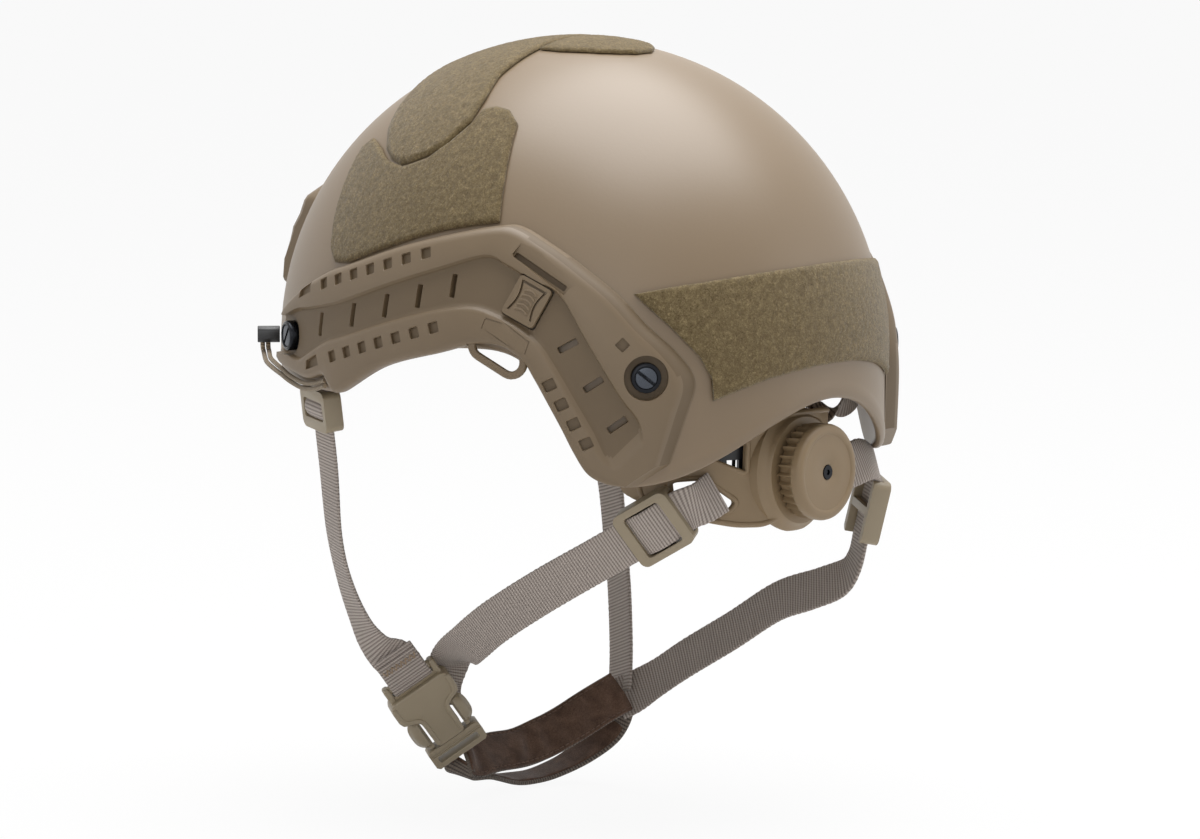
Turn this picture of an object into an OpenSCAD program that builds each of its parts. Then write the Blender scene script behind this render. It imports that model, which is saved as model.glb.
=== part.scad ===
/* [Shell] */
// Outside length of the shell at its widest level, front to back
shell_l = 270; // [255:1:285]
// Outside width of the shell at its widest level
shell_w = 240; // [228:1:252]
// Height of the crown above the widest level
crown_h = 130; // [122:1:138]
// Thickness of the moulded shell
wall = 4; // [3:0.25:5]
// Lowest point of the lobe behind each ear, below the widest level
lobe_drop = 47; // [44:0.5:50]
// Height of the ear arch above the widest level
ear_rise = 10; // [8:0.5:11]
// Drop of the brow edge below the widest level
brow_drop = 8; // [6:0.5:10]
// Drop of the rear edge at the middle
nape_drop = 14.5; // [13:0.5:16]

/* [Side rails] */
// Height of the rail flanges above the shell
rail_h = 7; // [6.5:0.25:8]
// Height of the channel floor above the shell
channel_h = 4.2; // [3.8:0.1:4.6]
// Seat gap between a fitted piece and the shell
seat_gap = 0.5; // [0.4:0.05:0.7]
// Length of the upright accessory slots
slot_l = 10; // [8:0.5:12]
// Width of the upright accessory slots
slot_w = 2.5; // [2:0.1:3]
// Side of the square flange pockets
pocket_w = 4.6; // [4:0.1:5]
// Depth of the square flange pockets
pocket_d = 1.6; // [1:0.1:2]
// Width of the lock tab
tab_w = 15.5; // [14:0.5:16]
// Length of the lock tab
tab_l = 18; // [16:0.5:18.5]
// Thickness of the lock tab
tab_t = 2.2; // [1.8:0.1:2.4]

/* [Fasteners] */
// Radius of the rail bolt head
head_r = 6.4; // [5.8:0.1:6.8]
// Thickness of the rail bolt head
head_t = 4.4; // [4:0.1:4.6]
// Shank radius of the rail bolt
shank_r = 2.5; // [2.2:0.1:2.8]
// Radius of the flange of the nut inside the shell
nut_flange_r = 8.5; // [7.5:0.5:9]
// Shank radius of the bracket screws
bracket_screw_r = 2; // [1.6:0.1:2.2]

/* [Front bracket] */
// Width of the bracket
bracket_w = 70; // [64:1:74]
// Width of its accessory opening
bracket_slot_w = 38; // [34:1:42]
// Distance from the middle to each lower screw
bracket_screw_x = 27; // [26:0.5:28]

/* [Loop panels] */
// Thickness of the loop fabric
patch_t = 1.6; // [1.2:0.1:2]

/* [Fit system] */
// Radius of the nape yoke's outer face
yoke_r = 60; // [58:0.5:62]
// Thickness of the nape yoke
yoke_t = 2.6; // [2.2:0.1:3]
// Level of the dial axis below the widest level
dial_drop = 46; // [44:0.5:48]
// Radius of the dial to the tips of its grip teeth
dial_r = 20.5; // [19:0.5:21.5]
// Depth of the dial
dial_d = 13; // [11:0.5:14]
// Grip teeth round the dial
dial_teeth = 30; // [24:1:36]
// Radius of the dial shaft
shaft_r = 4; // [3.6:0.1:4.4]
// Radial running clearance of the dial shaft
shaft_gap = 0.08; // [0.05:0.01:0.1]
// Module of the pinion and racks
gear_module = 1; // [0.9:0.05:1.1]
// Teeth on the pinion
pinion_teeth = 10; // [10:1:10]
// Thickness of each rack
rack_t = 2.6; // [2.2:0.1:2.8]
// Height of the comfort pads
pad_t = 16; // [12:1:19]
// Height of the headband strip
band_w = 18; // [15:1:20]

/* [Harness] */
// Width of the webbing
web_w = 19; // [17:0.5:20]
// Thickness of the webbing
web_t = 1.5; // [1.2:0.1:1.8]
// Length of the rear strap sliders along the strap
slider_l = 28; // [25:1:30]
// Length of the front strap sliders
front_slider_l = 18; // [17:0.5:20]
// Thickness of the bars of a strap slider
slider_bar = 3; // [2.6:0.1:3.4]
// Width of the buckle body
buckle_w = 30; // [28:0.5:32]
// Length of the buckle body
buckle_l = 28; // [27:0.5:30]
// Thickness of the buckle body
buckle_t = 10; // [9:0.5:11]
// Width of the upper chin band
chin_w = 18.5; // [17:0.5:21]

/* [Hidden] */
$fn = 48;

tan_plastic = "#8a7763";
tan_shell = "#93806a";
loop_olive = "#7a6a48";
web_taupe = "#8f8278";
clear = 0.3;
eps = 0.02;

// Small vector helpers
function unit(v) = v / norm(v);
function lerp(a, b, t) = a + (b - a) * t;
function flip_x(p) = [-p[0], p[1], p[2]];
function smooth(t) = (1 - cos(180 * t)) / 2;

// A point of the shell by azimuth from the front, latitude and height above the outer face
function surf(a, t, h) = t >= 0
  ? [(shell_w / 2 + h) * sin(a) * cos(t), -(shell_l / 2 + h) * cos(a) * cos(t), (crown_h + h) * sin(t)]
  : [(shell_w / 2 + h) * sin(a), -(shell_l / 2 + h) * cos(a), crown_h * t * PI / 180];
// The same surface found from its side view, front view or top view
function side(y, z, h) = [(shell_w / 2 + h)
  * sqrt(max(0.01, 1 - pow(y / (shell_l / 2 + h), 2) - pow(max(z, 0) / (crown_h + h), 2))), y, z];
function face(x, z, h) = [x, -(shell_l / 2 + h)
  * sqrt(max(0.01, 1 - pow(x / (shell_w / 2 + h), 2) - pow(max(z, 0) / (crown_h + h), 2))), z];
function top(x, y, h) = [x, y, (crown_h + h)
  * sqrt(max(0.01, 1 - pow(x / (shell_w / 2 + h), 2) - pow(y / (shell_l / 2 + h), 2)))];
function outward(p) = unit([p[0] / pow(shell_w / 2, 2), p[1] / pow(shell_l / 2, 2),
  max(p[2], 0) / pow(crown_h, 2)]);

// Rim height by azimuth: stations of azimuth, height and skew of the curve that follows
rim = [[0, -brow_drop, 1], [70, -14.6, 0.65], [104, ear_rise, 1.5],
       [133, -lobe_drop, 1], [180, -nape_drop, 1]];
function rim_part(a, i) = a <= rim[i + 1][0] || i == len(rim) - 2
  ? lerp(rim[i][1], rim[i + 1][1],
         smooth(pow((a - rim[i][0]) / (rim[i + 1][0] - rim[i][0]), rim[i][2])))
  : rim_part(a, i + 1);
function rim_z(a) = rim_part(a > 180 ? 360 - a : a, 0);
function lat_of(z) = z >= 0 ? asin(z / crown_h) : z / crown_h * 180 / PI;

// Closed solid between two matching grids of n rows and m columns
module grid_solid(n, m, upper, lower, flip = false) {
  function q(a, b, c) = flip ? [a, c, b] : [a, b, c];
  k = n * m;
  polyhedron(points = concat(upper, lower), faces = [
    for (i = [0 : n - 2], j = [0 : m - 2], s = [0 : 3])
      let (a = i * m + j, b = a + 1, c = a + m + 1, d = a + m)
      s == 0 ? q(a, b, c) : s == 1 ? q(a, c, d)
      : s == 2 ? q(k + a, k + c, k + b) : q(k + a, k + d, k + c),
    for (i = [0 : n - 2], s = [0 : 3])
      let (a = i * m, d = a + m, b = a + m - 1, c = b + m)
      s == 0 ? q(a, d, k + d) : s == 1 ? q(a, k + d, k + a)
      : s == 2 ? q(b, k + c, c) : q(b, k + b, k + c),
    for (j = [0 : m - 2], s = [0 : 3])
      let (a = j, b = j + 1, c = (n - 1) * m + j, d = c + 1)
      s == 0 ? q(b, a, k + a) : s == 1 ? q(b, k + a, k + b)
      : s == 2 ? q(c, d, k + d) : q(c, k + d, k + c)
  ], convexity = 6);
}

// Round cord along a route, with the given number of sides
module cord(route, r, sides = 8, start = [0, 0, 1]) {
  n = len(route);
  dirs = [for (i = [0 : n - 1]) unit(route[min(i + 1, n - 1)] - route[max(i - 1, 0)])];
  function ring(i) = let (s = unit(cross(dirs[i], start)), u = cross(dirs[i], s))
    [for (k = [0 : sides - 1]) route[i] + r * (cos(360 * k / sides) * s + sin(360 * k / sides) * u)];
  pts = [for (i = [0 : n - 1]) each ring(i)];
  polyhedron(points = concat(pts, [route[0], route[n - 1]]), faces = [
    for (i = [0 : n - 2], k = [0 : sides - 1], s = [0 : 1])
      let (a = i * sides + k, b = i * sides + (k + 1) % sides, c = b + sides, d = a + sides)
      s == 0 ? [a, c, b] : [a, d, c],
    for (k = [0 : sides - 1]) [n * sides, k, (k + 1) % sides],
    for (k = [0 : sides - 1]) [n * sides + 1, (n - 1) * sides + (k + 1) % sides, (n - 1) * sides + k]
  ], convexity = 6);
}

// Flat strip along a route whose faces look along the given normals
module strip(route, normals, w, t, crown = 0) {
  n = len(route);
  m = crown > 0 ? 5 : 2;
  function across(i) = unit(cross(unit(route[min(i + 1, n - 1)] - route[max(i - 1, 0)]), normals[i]));
  function facing(i) = unit(cross(across(i), unit(route[min(i + 1, n - 1)] - route[max(i - 1, 0)])));
  function layer(side_of) = [for (i = [0 : n - 1], j = [0 : m - 1])
    let (v = 2 * j / (m - 1) - 1)
    route[i] + across(i) * v * w / 2
      + facing(i) * side_of * (t / 2 + crown * (1 - v * v))];
  grid_solid(n, m, layer(-1), layer(1));
}

// Moves a piece so that its X runs along d and its Z along n, with its origin at p
module placed(p, d, n) {
  x = unit(d);
  z = unit(n - (n * x) * x);
  y = cross(z, x);
  multmatrix([[x[0], y[0], z[0], p[0]], [x[1], y[1], z[1], p[1]], [x[2], y[2], z[2], p[2]], [0, 0, 0, 1]])
    children();
}

// Seats of the four rail bolts, as side view places on the left, and the angle of their axes
front_bolt = [-73, 7];
rear_bolt = [98, 0];
module at_bolt(place, h) {
  p = side(place[0], place[1], h);
  d = outward(p);
  placed(p, unit([d[0], d[1], 0]), [0, 0, 1]) children();
}
module each_bolt() {
  for (s = [0, 1], place = [front_bolt, rear_bolt])
    mirror([s, 0, 0]) at_bolt(place, 0) children();
}

// Shell: one closed moulding, thinner than the pads inside it, open below
az_n = 72;
lat_n = 11;
module shell_body() {
  // Rows crowd towards the rim, where the edge turns fastest
  function row(a, k) = lerp(lat_of(rim_z(a)), 90, k / lat_n);
  function layer(h) = [for (k = [0 : lat_n - 1], i = [0 : az_n - 1])
    let (a = i * 360 / az_n) surf(a, row(a, k), h)];
  n = az_n * lat_n;
  polyhedron(points = concat(layer(0), layer(-wall), [[0, 0, crown_h], [0, 0, crown_h - wall]]), faces = [
    for (k = [0 : lat_n - 2], i = [0 : az_n - 1], s = [0 : 3])
      let (a = k * az_n + i, b = k * az_n + (i + 1) % az_n, c = b + az_n, d = a + az_n)
      s == 0 ? [a, d, c] : s == 1 ? [a, c, b] : s == 2 ? [n + a, n + c, n + d] : [n + a, n + b, n + c],
    for (i = [0 : az_n - 1], s = [0 : 3])
      let (j = (i + 1) % az_n, e = (lat_n - 1) * az_n)
      s == 0 ? [e + i, 2 * n, e + j] : s == 1 ? [n + e + i, n + e + j, 2 * n + 1]
      : s == 2 ? [i, j, n + j] : [i, n + j, n + i]
  ], convexity = 8);
}
nut_barrel_r = shank_r + 1;
module shell() {
  color(tan_shell)
  difference() {
    shell_body();
    each_bolt() rotate([0, 90, 0]) cylinder(r = nut_barrel_r + clear / 2, h = 40, center = true);
    bracket_axes() cylinder(r = bracket_screw_r + 0.4, h = 60, center = true);
  }
}

// Side rail: outer edge, inner edge and the two flange lines at each station, in side view
rail_stations = [
  [[-84.5, 12.5], [-87.5, -4.5], 0.25, 0.8], [[-81.6, 18.5], [-83, -6.5], 0.25, 0.82],
  [[-68, 27.7], [-68, -8.8], 0.17, 0.78], [[-60, 31.8], [-58.5, -9.7], 0.24, 0.74],
  [[-51, 35.8], [-46.5, -7], 0.29, 0.7], [[-45, 38.2], [-41.8, -11.6], 0.38, 0.72],
  [[-33, 41.8], [-35.5, -13], 0.41, 0.73], [[-6, 50.7], [-9.5, 0], 0.35, 0.71],
  [[18.6, 57.2], [18.5, 7.6], 0.35, 0.74], [[38, 61.2], [33.5, 11.6], 0.31, 0.77],
  [[47, 60.6], [47, 12.2], 0.24, 0.71], [[60, 54], [57.5, 6.5], 0.24, 0.71],
  [[72, 46.3], [62.5, -1.5], 0.27, 0.77], [[87, 34.2], [67.5, -11.5], 0.24, 0.67],
  [[98, 21.2], [72.8, -22.5], 0.22, 0.62], [[107.3, 9.9], [77.2, -32.5], 0.21, 0.58],
  [[112.6, -2.2], [82, -41], 0.19, 0.6], [[110.2, -17.5], [88.5, -45], 0.2, 0.62],
  [[105.8, -37], [95.5, -46.2], 0.3, 0.6]
];
rail_sub = 2;
rail_n = (len(rail_stations) - 1) * rail_sub + 1;
function station(i) = let (k = min(floor(i / rail_sub), len(rail_stations) - 2), f = i / rail_sub - k)
  [for (c = [0 : 3]) lerp(rail_stations[k][c], rail_stations[k + 1][c], f)];
edge_h = 2;
// The channel floor rises to the flanges at the rear end
rise = [[rail_n - 6, channel_h], [rail_n - 4, (channel_h + rail_h) / 2], [rail_n - 3, rail_h - eps]];
// Places across the rail and the heights there, from inner edge to outer edge
function across_rail(s, base) = [[0, edge_h], [0.04, rail_h], [s[2] * 0.55, rail_h], [s[2], rail_h],
  [s[2] + 0.035, base], [(s[2] + s[3]) / 2, base], [s[3] - 0.035, base], [s[3], rail_h],
  [(s[3] + 0.97) / 2, rail_h], [0.97, rail_h], [1, edge_h]];
module rail_blank() {
  spots = [for (i = [0 : rail_n - 1]) let (s = station(i))
    [for (v = across_rail(s, lookup(i, rise))) [lerp(s[1], s[0], v[0]), v[1]]]];
  upper = [for (row = spots, v = row) side(v[0][0], v[0][1], v[1])];
  lower = [for (row = spots, v = row) side(v[0][0], v[0][1], seat_gap)];
  grid_solid(rail_n, len(spots[0]), upper, lower);
}
// A box on the side of the shell, centred at a side view place and turned in the side view
module side_box(y, z, turn, size, h0, h1) {
  p = side(y, z, 0);
  n = outward(p);
  placed(p, [0, cos(turn), sin(turn)] - n * (n[1] * cos(turn) + n[2] * sin(turn)), n)
    translate([-size[0] / 2, -size[1] / 2, h0]) cube([size[0], size[1], h1 - h0]);
}
// Oval loop under the corner of the rail, for a lanyard
loop_place = [45.2, 8.7];
loop_turn = -27;
loop_h = seat_gap + 1.2;
loop_t = 3;
loop_r = 7.2;
loop_rim = 3.4;
loop_span = 14;
module at_loop() {
  p = side(loop_place[0], loop_place[1], 0);
  n = outward(p);
  d = [0, cos(loop_turn), sin(loop_turn)];
  placed(p, d - n * (n * d), n) translate([0, 0, loop_h]) children();
}
module loop_outline(r) {
  square([loop_span, 2 * r], center = true);
  for (s = [-1, 1]) translate([s * loop_span / 2, 0]) circle(r);
}
arm_turn = 18;
tab_place = [55.6, 29.9];
tab_play = 1;
tab_turn = 63;
slot_places = [[-49, 14], [-28, 19.8], [-9.4, 25], [7.4, 30], [23.2, 35]];
rear_slots = [[72.2, 12.7], [81.4, -3], [89.3, -19.8]];
upper_pockets = [for (k = [0 : 6]) [-46.2 + 9.2 * k, 30.6 + 2.68 * k]];
lower_pockets = [for (k = [0 : 6]) [-37 + 9.1 * k, 2.2 + 2.6 * k]];
rear_pockets = [for (k = [0 : 3]) [66.3 + 4.3 * k, -3.2 - 8.1 * k]];
// Room round the bolt heads
front_room = 1.8;
rear_room = 3;
// A pocket that narrows towards the front, in the lobe at the start of each flange
lobe_wedge = [[-6.2, -1.8], [4.2, -2.3], [4.2, 2.3], [-4.6, 1.6]];
module side_wedge(y, z, turn, outline) {
  p = side(y, z, 0);
  n = outward(p);
  d = [0, cos(turn), sin(turn)];
  placed(p, d - n * (n * d), n) translate([0, 0, rail_h - pocket_d]) linear_extrude(5) polygon(outline);
}
module rail_cuts() {
  for (s = slot_places) side_box(s[0], s[1], 90, [slot_l, slot_w], -1, rail_h + 2);
  for (s = rear_slots) side_box(s[0], s[1], 28, [slot_l - 1, slot_w + 0.3], -1, rail_h + 2);
  for (s = concat(upper_pockets, lower_pockets))
    side_box(s[0], s[1], arm_turn, [pocket_w, pocket_w], rail_h - pocket_d, rail_h + 2);
  for (s = rear_pockets) side_box(s[0], s[1], -62, [pocket_w, pocket_w + 0.6], rail_h - pocket_d, rail_h + 2);
  side_box(90.5, 13.2, 40, [pocket_w, pocket_w], rail_h - pocket_d, rail_h + 2);
  side_wedge(-59.2, 26.8, arm_turn, lobe_wedge);
  side_wedge(-50.8, -1.6, arm_turn, lobe_wedge);
  // Clearance above the lock tab, and the slot that its top slides in
  side_box(60, 45.4, -28.5, [30, 7.5], channel_h, rail_h + 2);
  side_box(58.6, 41.8, -25, [27, 2.6], channel_h - 1.6, rail_h + 2);
  side_box(tab_place[0], tab_place[1], tab_turn, [tab_l + tab_play, tab_w + tab_play], -1, rail_h + 3);
  // The loop lies under the edge of the rail
  at_loop() translate([0, 0, -5]) linear_extrude(5 + loop_t + clear) loop_outline(loop_r + clear);
  for (place = [front_bolt, rear_bolt]) at_bolt(place, 0) rotate([0, 90, 0]) {
    cylinder(r = shank_r + clear, h = 30, center = true);
    translate([0, 0, rail_h - head_t])
      cylinder(r = head_r + (place == rear_bolt ? rear_room : front_room), h = 12);
  }
  // The front recess runs out through the end of the rail
  at_bolt(front_bolt, 0) translate([rail_h - head_t, -24, -head_r - front_room])
    cube([12, 24, 2 * (head_r + front_room)]);
}
module rail() {
  color(tan_plastic)
  difference() {
    rail_blank();
    rail_cuts();
  }
}
module rail_left() { rail(); }
module rail_right() { mirror([1, 0, 0]) rail(); }

// Lock tab in the corner of the rail: a plate with five thumb ribs and two snap feet
tab_h = rail_h - tab_t - 0.6;
module lock_tab() {
  rib_step = tab_l / 7;
  color(tan_plastic) {
    side_box(tab_place[0], tab_place[1], tab_turn, [tab_l, tab_w], tab_h, tab_h + tab_t);
    for (k = [-2 : 2]) {
      p = tab_place + [cos(tab_turn), sin(tab_turn)] * rib_step * k;
      side_box(p[0], p[1], tab_turn, [1.1, tab_w - 4], tab_h + tab_t - 0.3, tab_h + tab_t + 0.6);
    }
  }
}
module rail_lock_left() { lock_tab(); }
module rail_lock_right() { mirror([1, 0, 0]) lock_tab(); }

module rail_loop() {
  color(tan_plastic)
  at_loop() linear_extrude(loop_t) difference() {
    loop_outline(loop_r);
    loop_outline(loop_r - loop_rim);
  }
}
module rail_loop_left() { rail_loop(); }
module rail_loop_right() { mirror([1, 0, 0]) rail_loop(); }

// Rail bolts: slotted heads outside, shanks into barrel nuts
head_base = rail_h - head_t + 0.1;
anchor_t = 1.2;
anchor_h = -wall - anchor_t - 1;
nut_base = anchor_h - 1.3;
module rail_bolts() {
  color("#17181b")
  each_bolt() rotate([0, 90, 0]) difference() {
    union() {
      translate([0, 0, head_base]) cylinder(r = head_r, h = head_t);
      translate([0, 0, nut_base - 1]) cylinder(r = shank_r, h = head_base - nut_base + 1 + eps);
    }
    translate([-head_r - 1, -0.8, head_base + head_t - 1.4]) cube([2 * head_r + 2, 1.6, 3]);
  }
}
module bolt_nuts() {
  color("#3a3b3d")
  each_bolt() rotate([0, 90, 0]) difference() {
    union() {
      translate([0, 0, nut_base]) cylinder(r = nut_flange_r, h = 1.2);
      translate([0, 0, nut_base]) cylinder(r = nut_barrel_r, h = -nut_base - 0.4);
    }
    translate([0, 0, nut_base - 1]) cylinder(r = shank_r + eps, h = 20);
  }
}
// Strap anchor: a plate held by the nut, with a slot below for the webbing
anchor_slot = 16;
module strap_anchors() {
  color("#2c2c2d")
  each_bolt() translate([anchor_h, 0, 0]) rotate([90, 0, 90]) linear_extrude(anchor_t) difference() {
    union() {
      circle(7);
      translate([-web_w / 2 - 2.5, -anchor_slot - 4]) square([web_w + 5, anchor_slot]);
    }
    circle(nut_barrel_r + 0.2);
    translate([-web_w / 2 - 0.5, -anchor_slot - 2]) square([web_w + 1, 4]);
  }
}

// Front bracket: a stand-off plate with a flat front, an open slide and three screws
bracket_face = [[18, 4.5], [44, 2], [58, -5], [68, -15.5]];
function bracket_y(z) = -shell_l / 2 - lookup(z, bracket_face);
bracket_flat = 0.66;
bracket_fall = [[30, 0.3], [40, 4], [50, 5.7], [60, 4.7], [68, 4]];
bracket_slot_z = [31, 52];
bracket_spots = [[0, 61], [bracket_screw_x, 26], [-bracket_screw_x, 26]];
module bracket_axes() {
  for (s = bracket_spots) {
    p = face(s[0], s[1], 0);
    translate(p) rotate([90, 0, 0]) children();
  }
}
module front_bracket() {
  // Flat in the middle, then falling back towards both sides
  xs = [for (k = [-1, -0.83, -bracket_flat, -0.35, 0, 0.35, bracket_flat, 0.83, 1]) k * bracket_w / 2];
  zs = [18, 22, 30, 37, 44, 51, 58, 63, 68];
  function half(z) = z < 22 ? bracket_w / 2 - 4 : z > 58 ? bracket_w / 2 - (z - 58) * 1.3 : bracket_w / 2;
  function spot(x, z) = x * half(z) / (bracket_w / 2);
  function fall(x, z) = lookup(z, bracket_fall)
    * pow(max(0, abs(x) / (bracket_w / 2) - bracket_flat) / (1 - bracket_flat), 1.4);
  upper = [for (x = xs, z = zs) [spot(x, z), bracket_y(z) + fall(x, z), z]];
  lower = [for (x = xs, z = zs) face(spot(x, z), z, seat_gap)];
  color(tan_plastic)
  difference() {
    grid_solid(len(xs), len(zs), upper, lower);
    // Slide for an accessory foot: a narrow throat in front of a wider pocket
    translate([-bracket_slot_w / 2, -shell_l / 2 - 15, bracket_slot_z[0]])
      cube([bracket_slot_w, 40, bracket_slot_z[1] - bracket_slot_z[0]]);
    translate([-bracket_slot_w / 2 - 3, -shell_l / 2 + 1, bracket_slot_z[0]])
      cube([bracket_slot_w + 6, 2.4, bracket_slot_z[1] - bracket_slot_z[0]]);
    bracket_axes() cylinder(r = bracket_screw_r + clear, h = 60, center = true);
    for (s = bracket_spots)
      translate([s[0], bracket_y(s[1]) + 2, s[1]]) rotate([90, 0, 0]) cylinder(r = 4.6, h = 30);
  }
}
bracket_screw_tip = 8;
nut_across = 8.8;
module bracket_screws() {
  color("#17181b")
  for (s = bracket_spots) {
    p = face(s[0], s[1], 0);
    l = p[1] - bracket_y(s[1]) - 2 + bracket_screw_tip;
    translate([s[0], bracket_y(s[1]) + 2 - 0.1, s[1]]) rotate([90, 0, 0]) difference() {
      union() {
        cylinder(r = 4.2, h = 2.8);
        translate([0, 0, -l]) cylinder(r = bracket_screw_r, h = l + eps);
      }
      translate([0, 0, 1.2]) cylinder(r = 1.7, h = 4, $fn = 6);
    }
  }
}
module bracket_nuts() {
  color("#3a3b3d")
  for (s = bracket_spots) {
    p = face(s[0], s[1], -wall);
    translate([s[0], p[1] + 0.9 + abs(s[0]) * 0.06 + s[1] * 0.03, s[1]]) rotate([-90, 0, 0]) difference() {
      cylinder(r = nut_across / 2, h = 2.4, $fn = 6);
      translate([0, 0, -1]) cylinder(r = bracket_screw_r + eps, h = 6);
    }
  }
}

// Elastic retainer: one cord that runs from the underside of the rail to its hook and back
cord_r = 1;
cord_gap = 2 * cord_r + 0.35;
hook_out = unit([0.64, -0.77, 0]);
hook_foot = side(-107.8, 0, 0);
function at_hook(out, z) = [hook_foot[0] + out * hook_out[0], hook_foot[1] + out * hook_out[1], z];
cord_out = 6.7;
cord_top = 0.6;
// Middle of the doubled cord, and how far its second strand has turned from below to outside
bungee_line = [
  [side(-47.2, -10.4, 3.6), 0], [side(-54.7, -12.3, 3.4), 0], [side(-65, -13.4, 3.2), 0],
  [side(-77.2, -12, 3.6), 0], [side(-86, -10, 4.4), 8], [side(-95, -8.4, 5.4), 25],
  [side(-102.5, -6.9, 6.4), 50], [at_hook(cord_out - 0.4, -5.2), 78], [at_hook(cord_out, -3), 90],
  [at_hook(cord_out, cord_top), 90]
];
function bungee_step(turn) = cord_gap / 2 * (cos(turn) * [0, 0, -1] + sin(turn) * hook_out);
bungee_route = concat(
  [for (s = bungee_line) s[0] - bungee_step(s[1])],
  [for (a = [45, 90, 135]) at_hook(cord_out - cos(a) * cord_gap / 2, cord_top + sin(a) * cord_gap / 2)],
  [for (i = [len(bungee_line) - 1 : -1 : 0]) bungee_line[i][0] + bungee_step(bungee_line[i][1])]);
module bungee() {
  color("#a08f78") cord(bungee_route, cord_r);
}
module bungee_left() { bungee(); }
module bungee_right() { mirror([1, 0, 0]) bungee(); }
// Its hook: a block against the shell with a slot from below for both strands
hook_size = [8, 6.8, 9.6];
hook_z = 2.4;
module bungee_hook() {
  slot = [2 * cord_r + 2 * clear, hook_size[1], cord_gap + 2 * cord_r + 2 * clear];
  roof = cord_top + cord_gap / 2 + cord_r + clear;
  color("#1b1b1c")
  placed([hook_foot[0], hook_foot[1], hook_z], cross([0, 0, 1], hook_out), hook_out) difference() {
    translate([-hook_size[0] / 2, -hook_size[1] / 2, seat_gap]) cube(hook_size);
    translate([-slot[0] / 2, roof - hook_z - slot[1], cord_out - slot[2] / 2]) cube(slot);
  }
}
module bungee_hook_left() { bungee_hook(); }
module bungee_hook_right() { mirror([1, 0, 0]) bungee_hook(); }

// Loop panel between two edges given in azimuth and latitude
function finer(pairs, k) = [for (i = [0 : (len(pairs) - 1) * k]) let (a = min(floor(i / k), len(pairs) - 2))
  lerp(pairs[a], pairs[a + 1], i / k - a)];
module panel(pairs, h0, h1, m = 4) {
  function layer(h) = [for (p = pairs, j = [0 : m]) let (q = lerp(p[0], p[1], j / m)) surf(q[0], q[1], h)];
  grid_solid(len(pairs), m + 1, layer(h1), layer(h0));
}
patch_gap = 0.45;
side_patch = [
  [[64.5, 20.5], [53.5, 41]], [[67.5, 17.9], [56, 43.5]], [[72, 18.2], [63, 42]], [[78, 20.4], [70, 39.4]],
  [[84, 22.6], [77, 38.4]], [[89, 24.4], [83.6, 40.6]], [[93, 25.6], [88.4, 45.4]], [[96, 26.4], [91.6, 50]],
  [[98.5, 26.9], [92.4, 54]], [[102, 27.6], [96.5, 54.8]], [[105, 28], [101.5, 54]],
  [[107.4, 28.4], [105.8, 50.5]]
];
module side_loop() { color(loop_olive) panel(side_patch, patch_gap, patch_gap + patch_t, 5); }
module patch_side_left() { side_loop(); }
module patch_side_right() { mirror([1, 0, 0]) side_loop(); }

// The side ends of the rear panel keep their place behind the rails on a longer or shorter shell
rail_rear = 97.4;
rear_shift = 90 + asin(rail_rear / (shell_l / 2 * cos(12.4))) - 137.6;
rear_stations = [
  [[137.6, 12.4], [134.8, 15.1]], [[141.4, 9], [137.5, 15.6]], [[147, 3.4], [141.5, 16.2]],
  [[149.6, -1], [145, 16.7]], [[149.8, -4.9], [148.3, 17]], [[153, -3.8], [151.8, 17.4]],
  [[157, -2.6], [156, 17.8]], [[162, -1.3], [161, 18.2]], [[168, -0.4], [167.3, 18.6]],
  [[174.3, 0.3], [174, 18.8]], [[180, 0.4], [180, 18.9]]
];
rear_patch = [for (s = rear_stations) [for (p = s) [p[0] + rear_shift * (180 - p[0]) / 42.4, p[1]]]];
module patch_rear() {
  n = len(rear_patch);
  right_half = [for (i = [n - 2 : -1 : 0]) [[360 - rear_patch[i][0][0], rear_patch[i][0][1]],
                                           [360 - rear_patch[i][1][0], rear_patch[i][1][1]]]];
  color(loop_olive) panel(concat(rear_patch, right_half), patch_gap, patch_gap + patch_t);
}

// Front top panel: front and rear edges in top view from the left lobe to the middle
top_patch = [
  [[91, -26], [91, -20.5]], [[87.5, -34], [89.5, -12]], [[82, -41], [86, -5]], [[72, -48.5], [77, 1]],
  [[60, -53], [66, 0]], [[45, -55.5], [52, -3.6]], [[28, -57], [38, -3.6]], [[12, -57.5], [18, -3.6]]
];
module top_panel(pairs, m = 4) {
  function layer(h) = [for (p = pairs, j = [0 : m]) let (q = lerp(p[0], p[1], j / m)) top(q[0], q[1], h)];
  grid_solid(len(pairs), m + 1, layer(patch_gap + patch_t), layer(patch_gap), true);
}
module patch_front_top() {
  mirrored = [for (i = [len(top_patch) - 1 : -1 : 0]) [for (p = top_patch[i]) [-p[0], p[1]]]];
  color(loop_olive) top_panel(finer(concat(top_patch, mirrored), 2), 5);
}
crown_patch = [[-2.6, 25.5], [8, 25.5], [16, 22.5], [24, 18], [30, 12], [34, 5]];
module patch_crown() {
  color(loop_olive) top_panel([for (c = crown_patch) [[-c[1], c[0]], [c[1], c[0]]]], 5);
}

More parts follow.
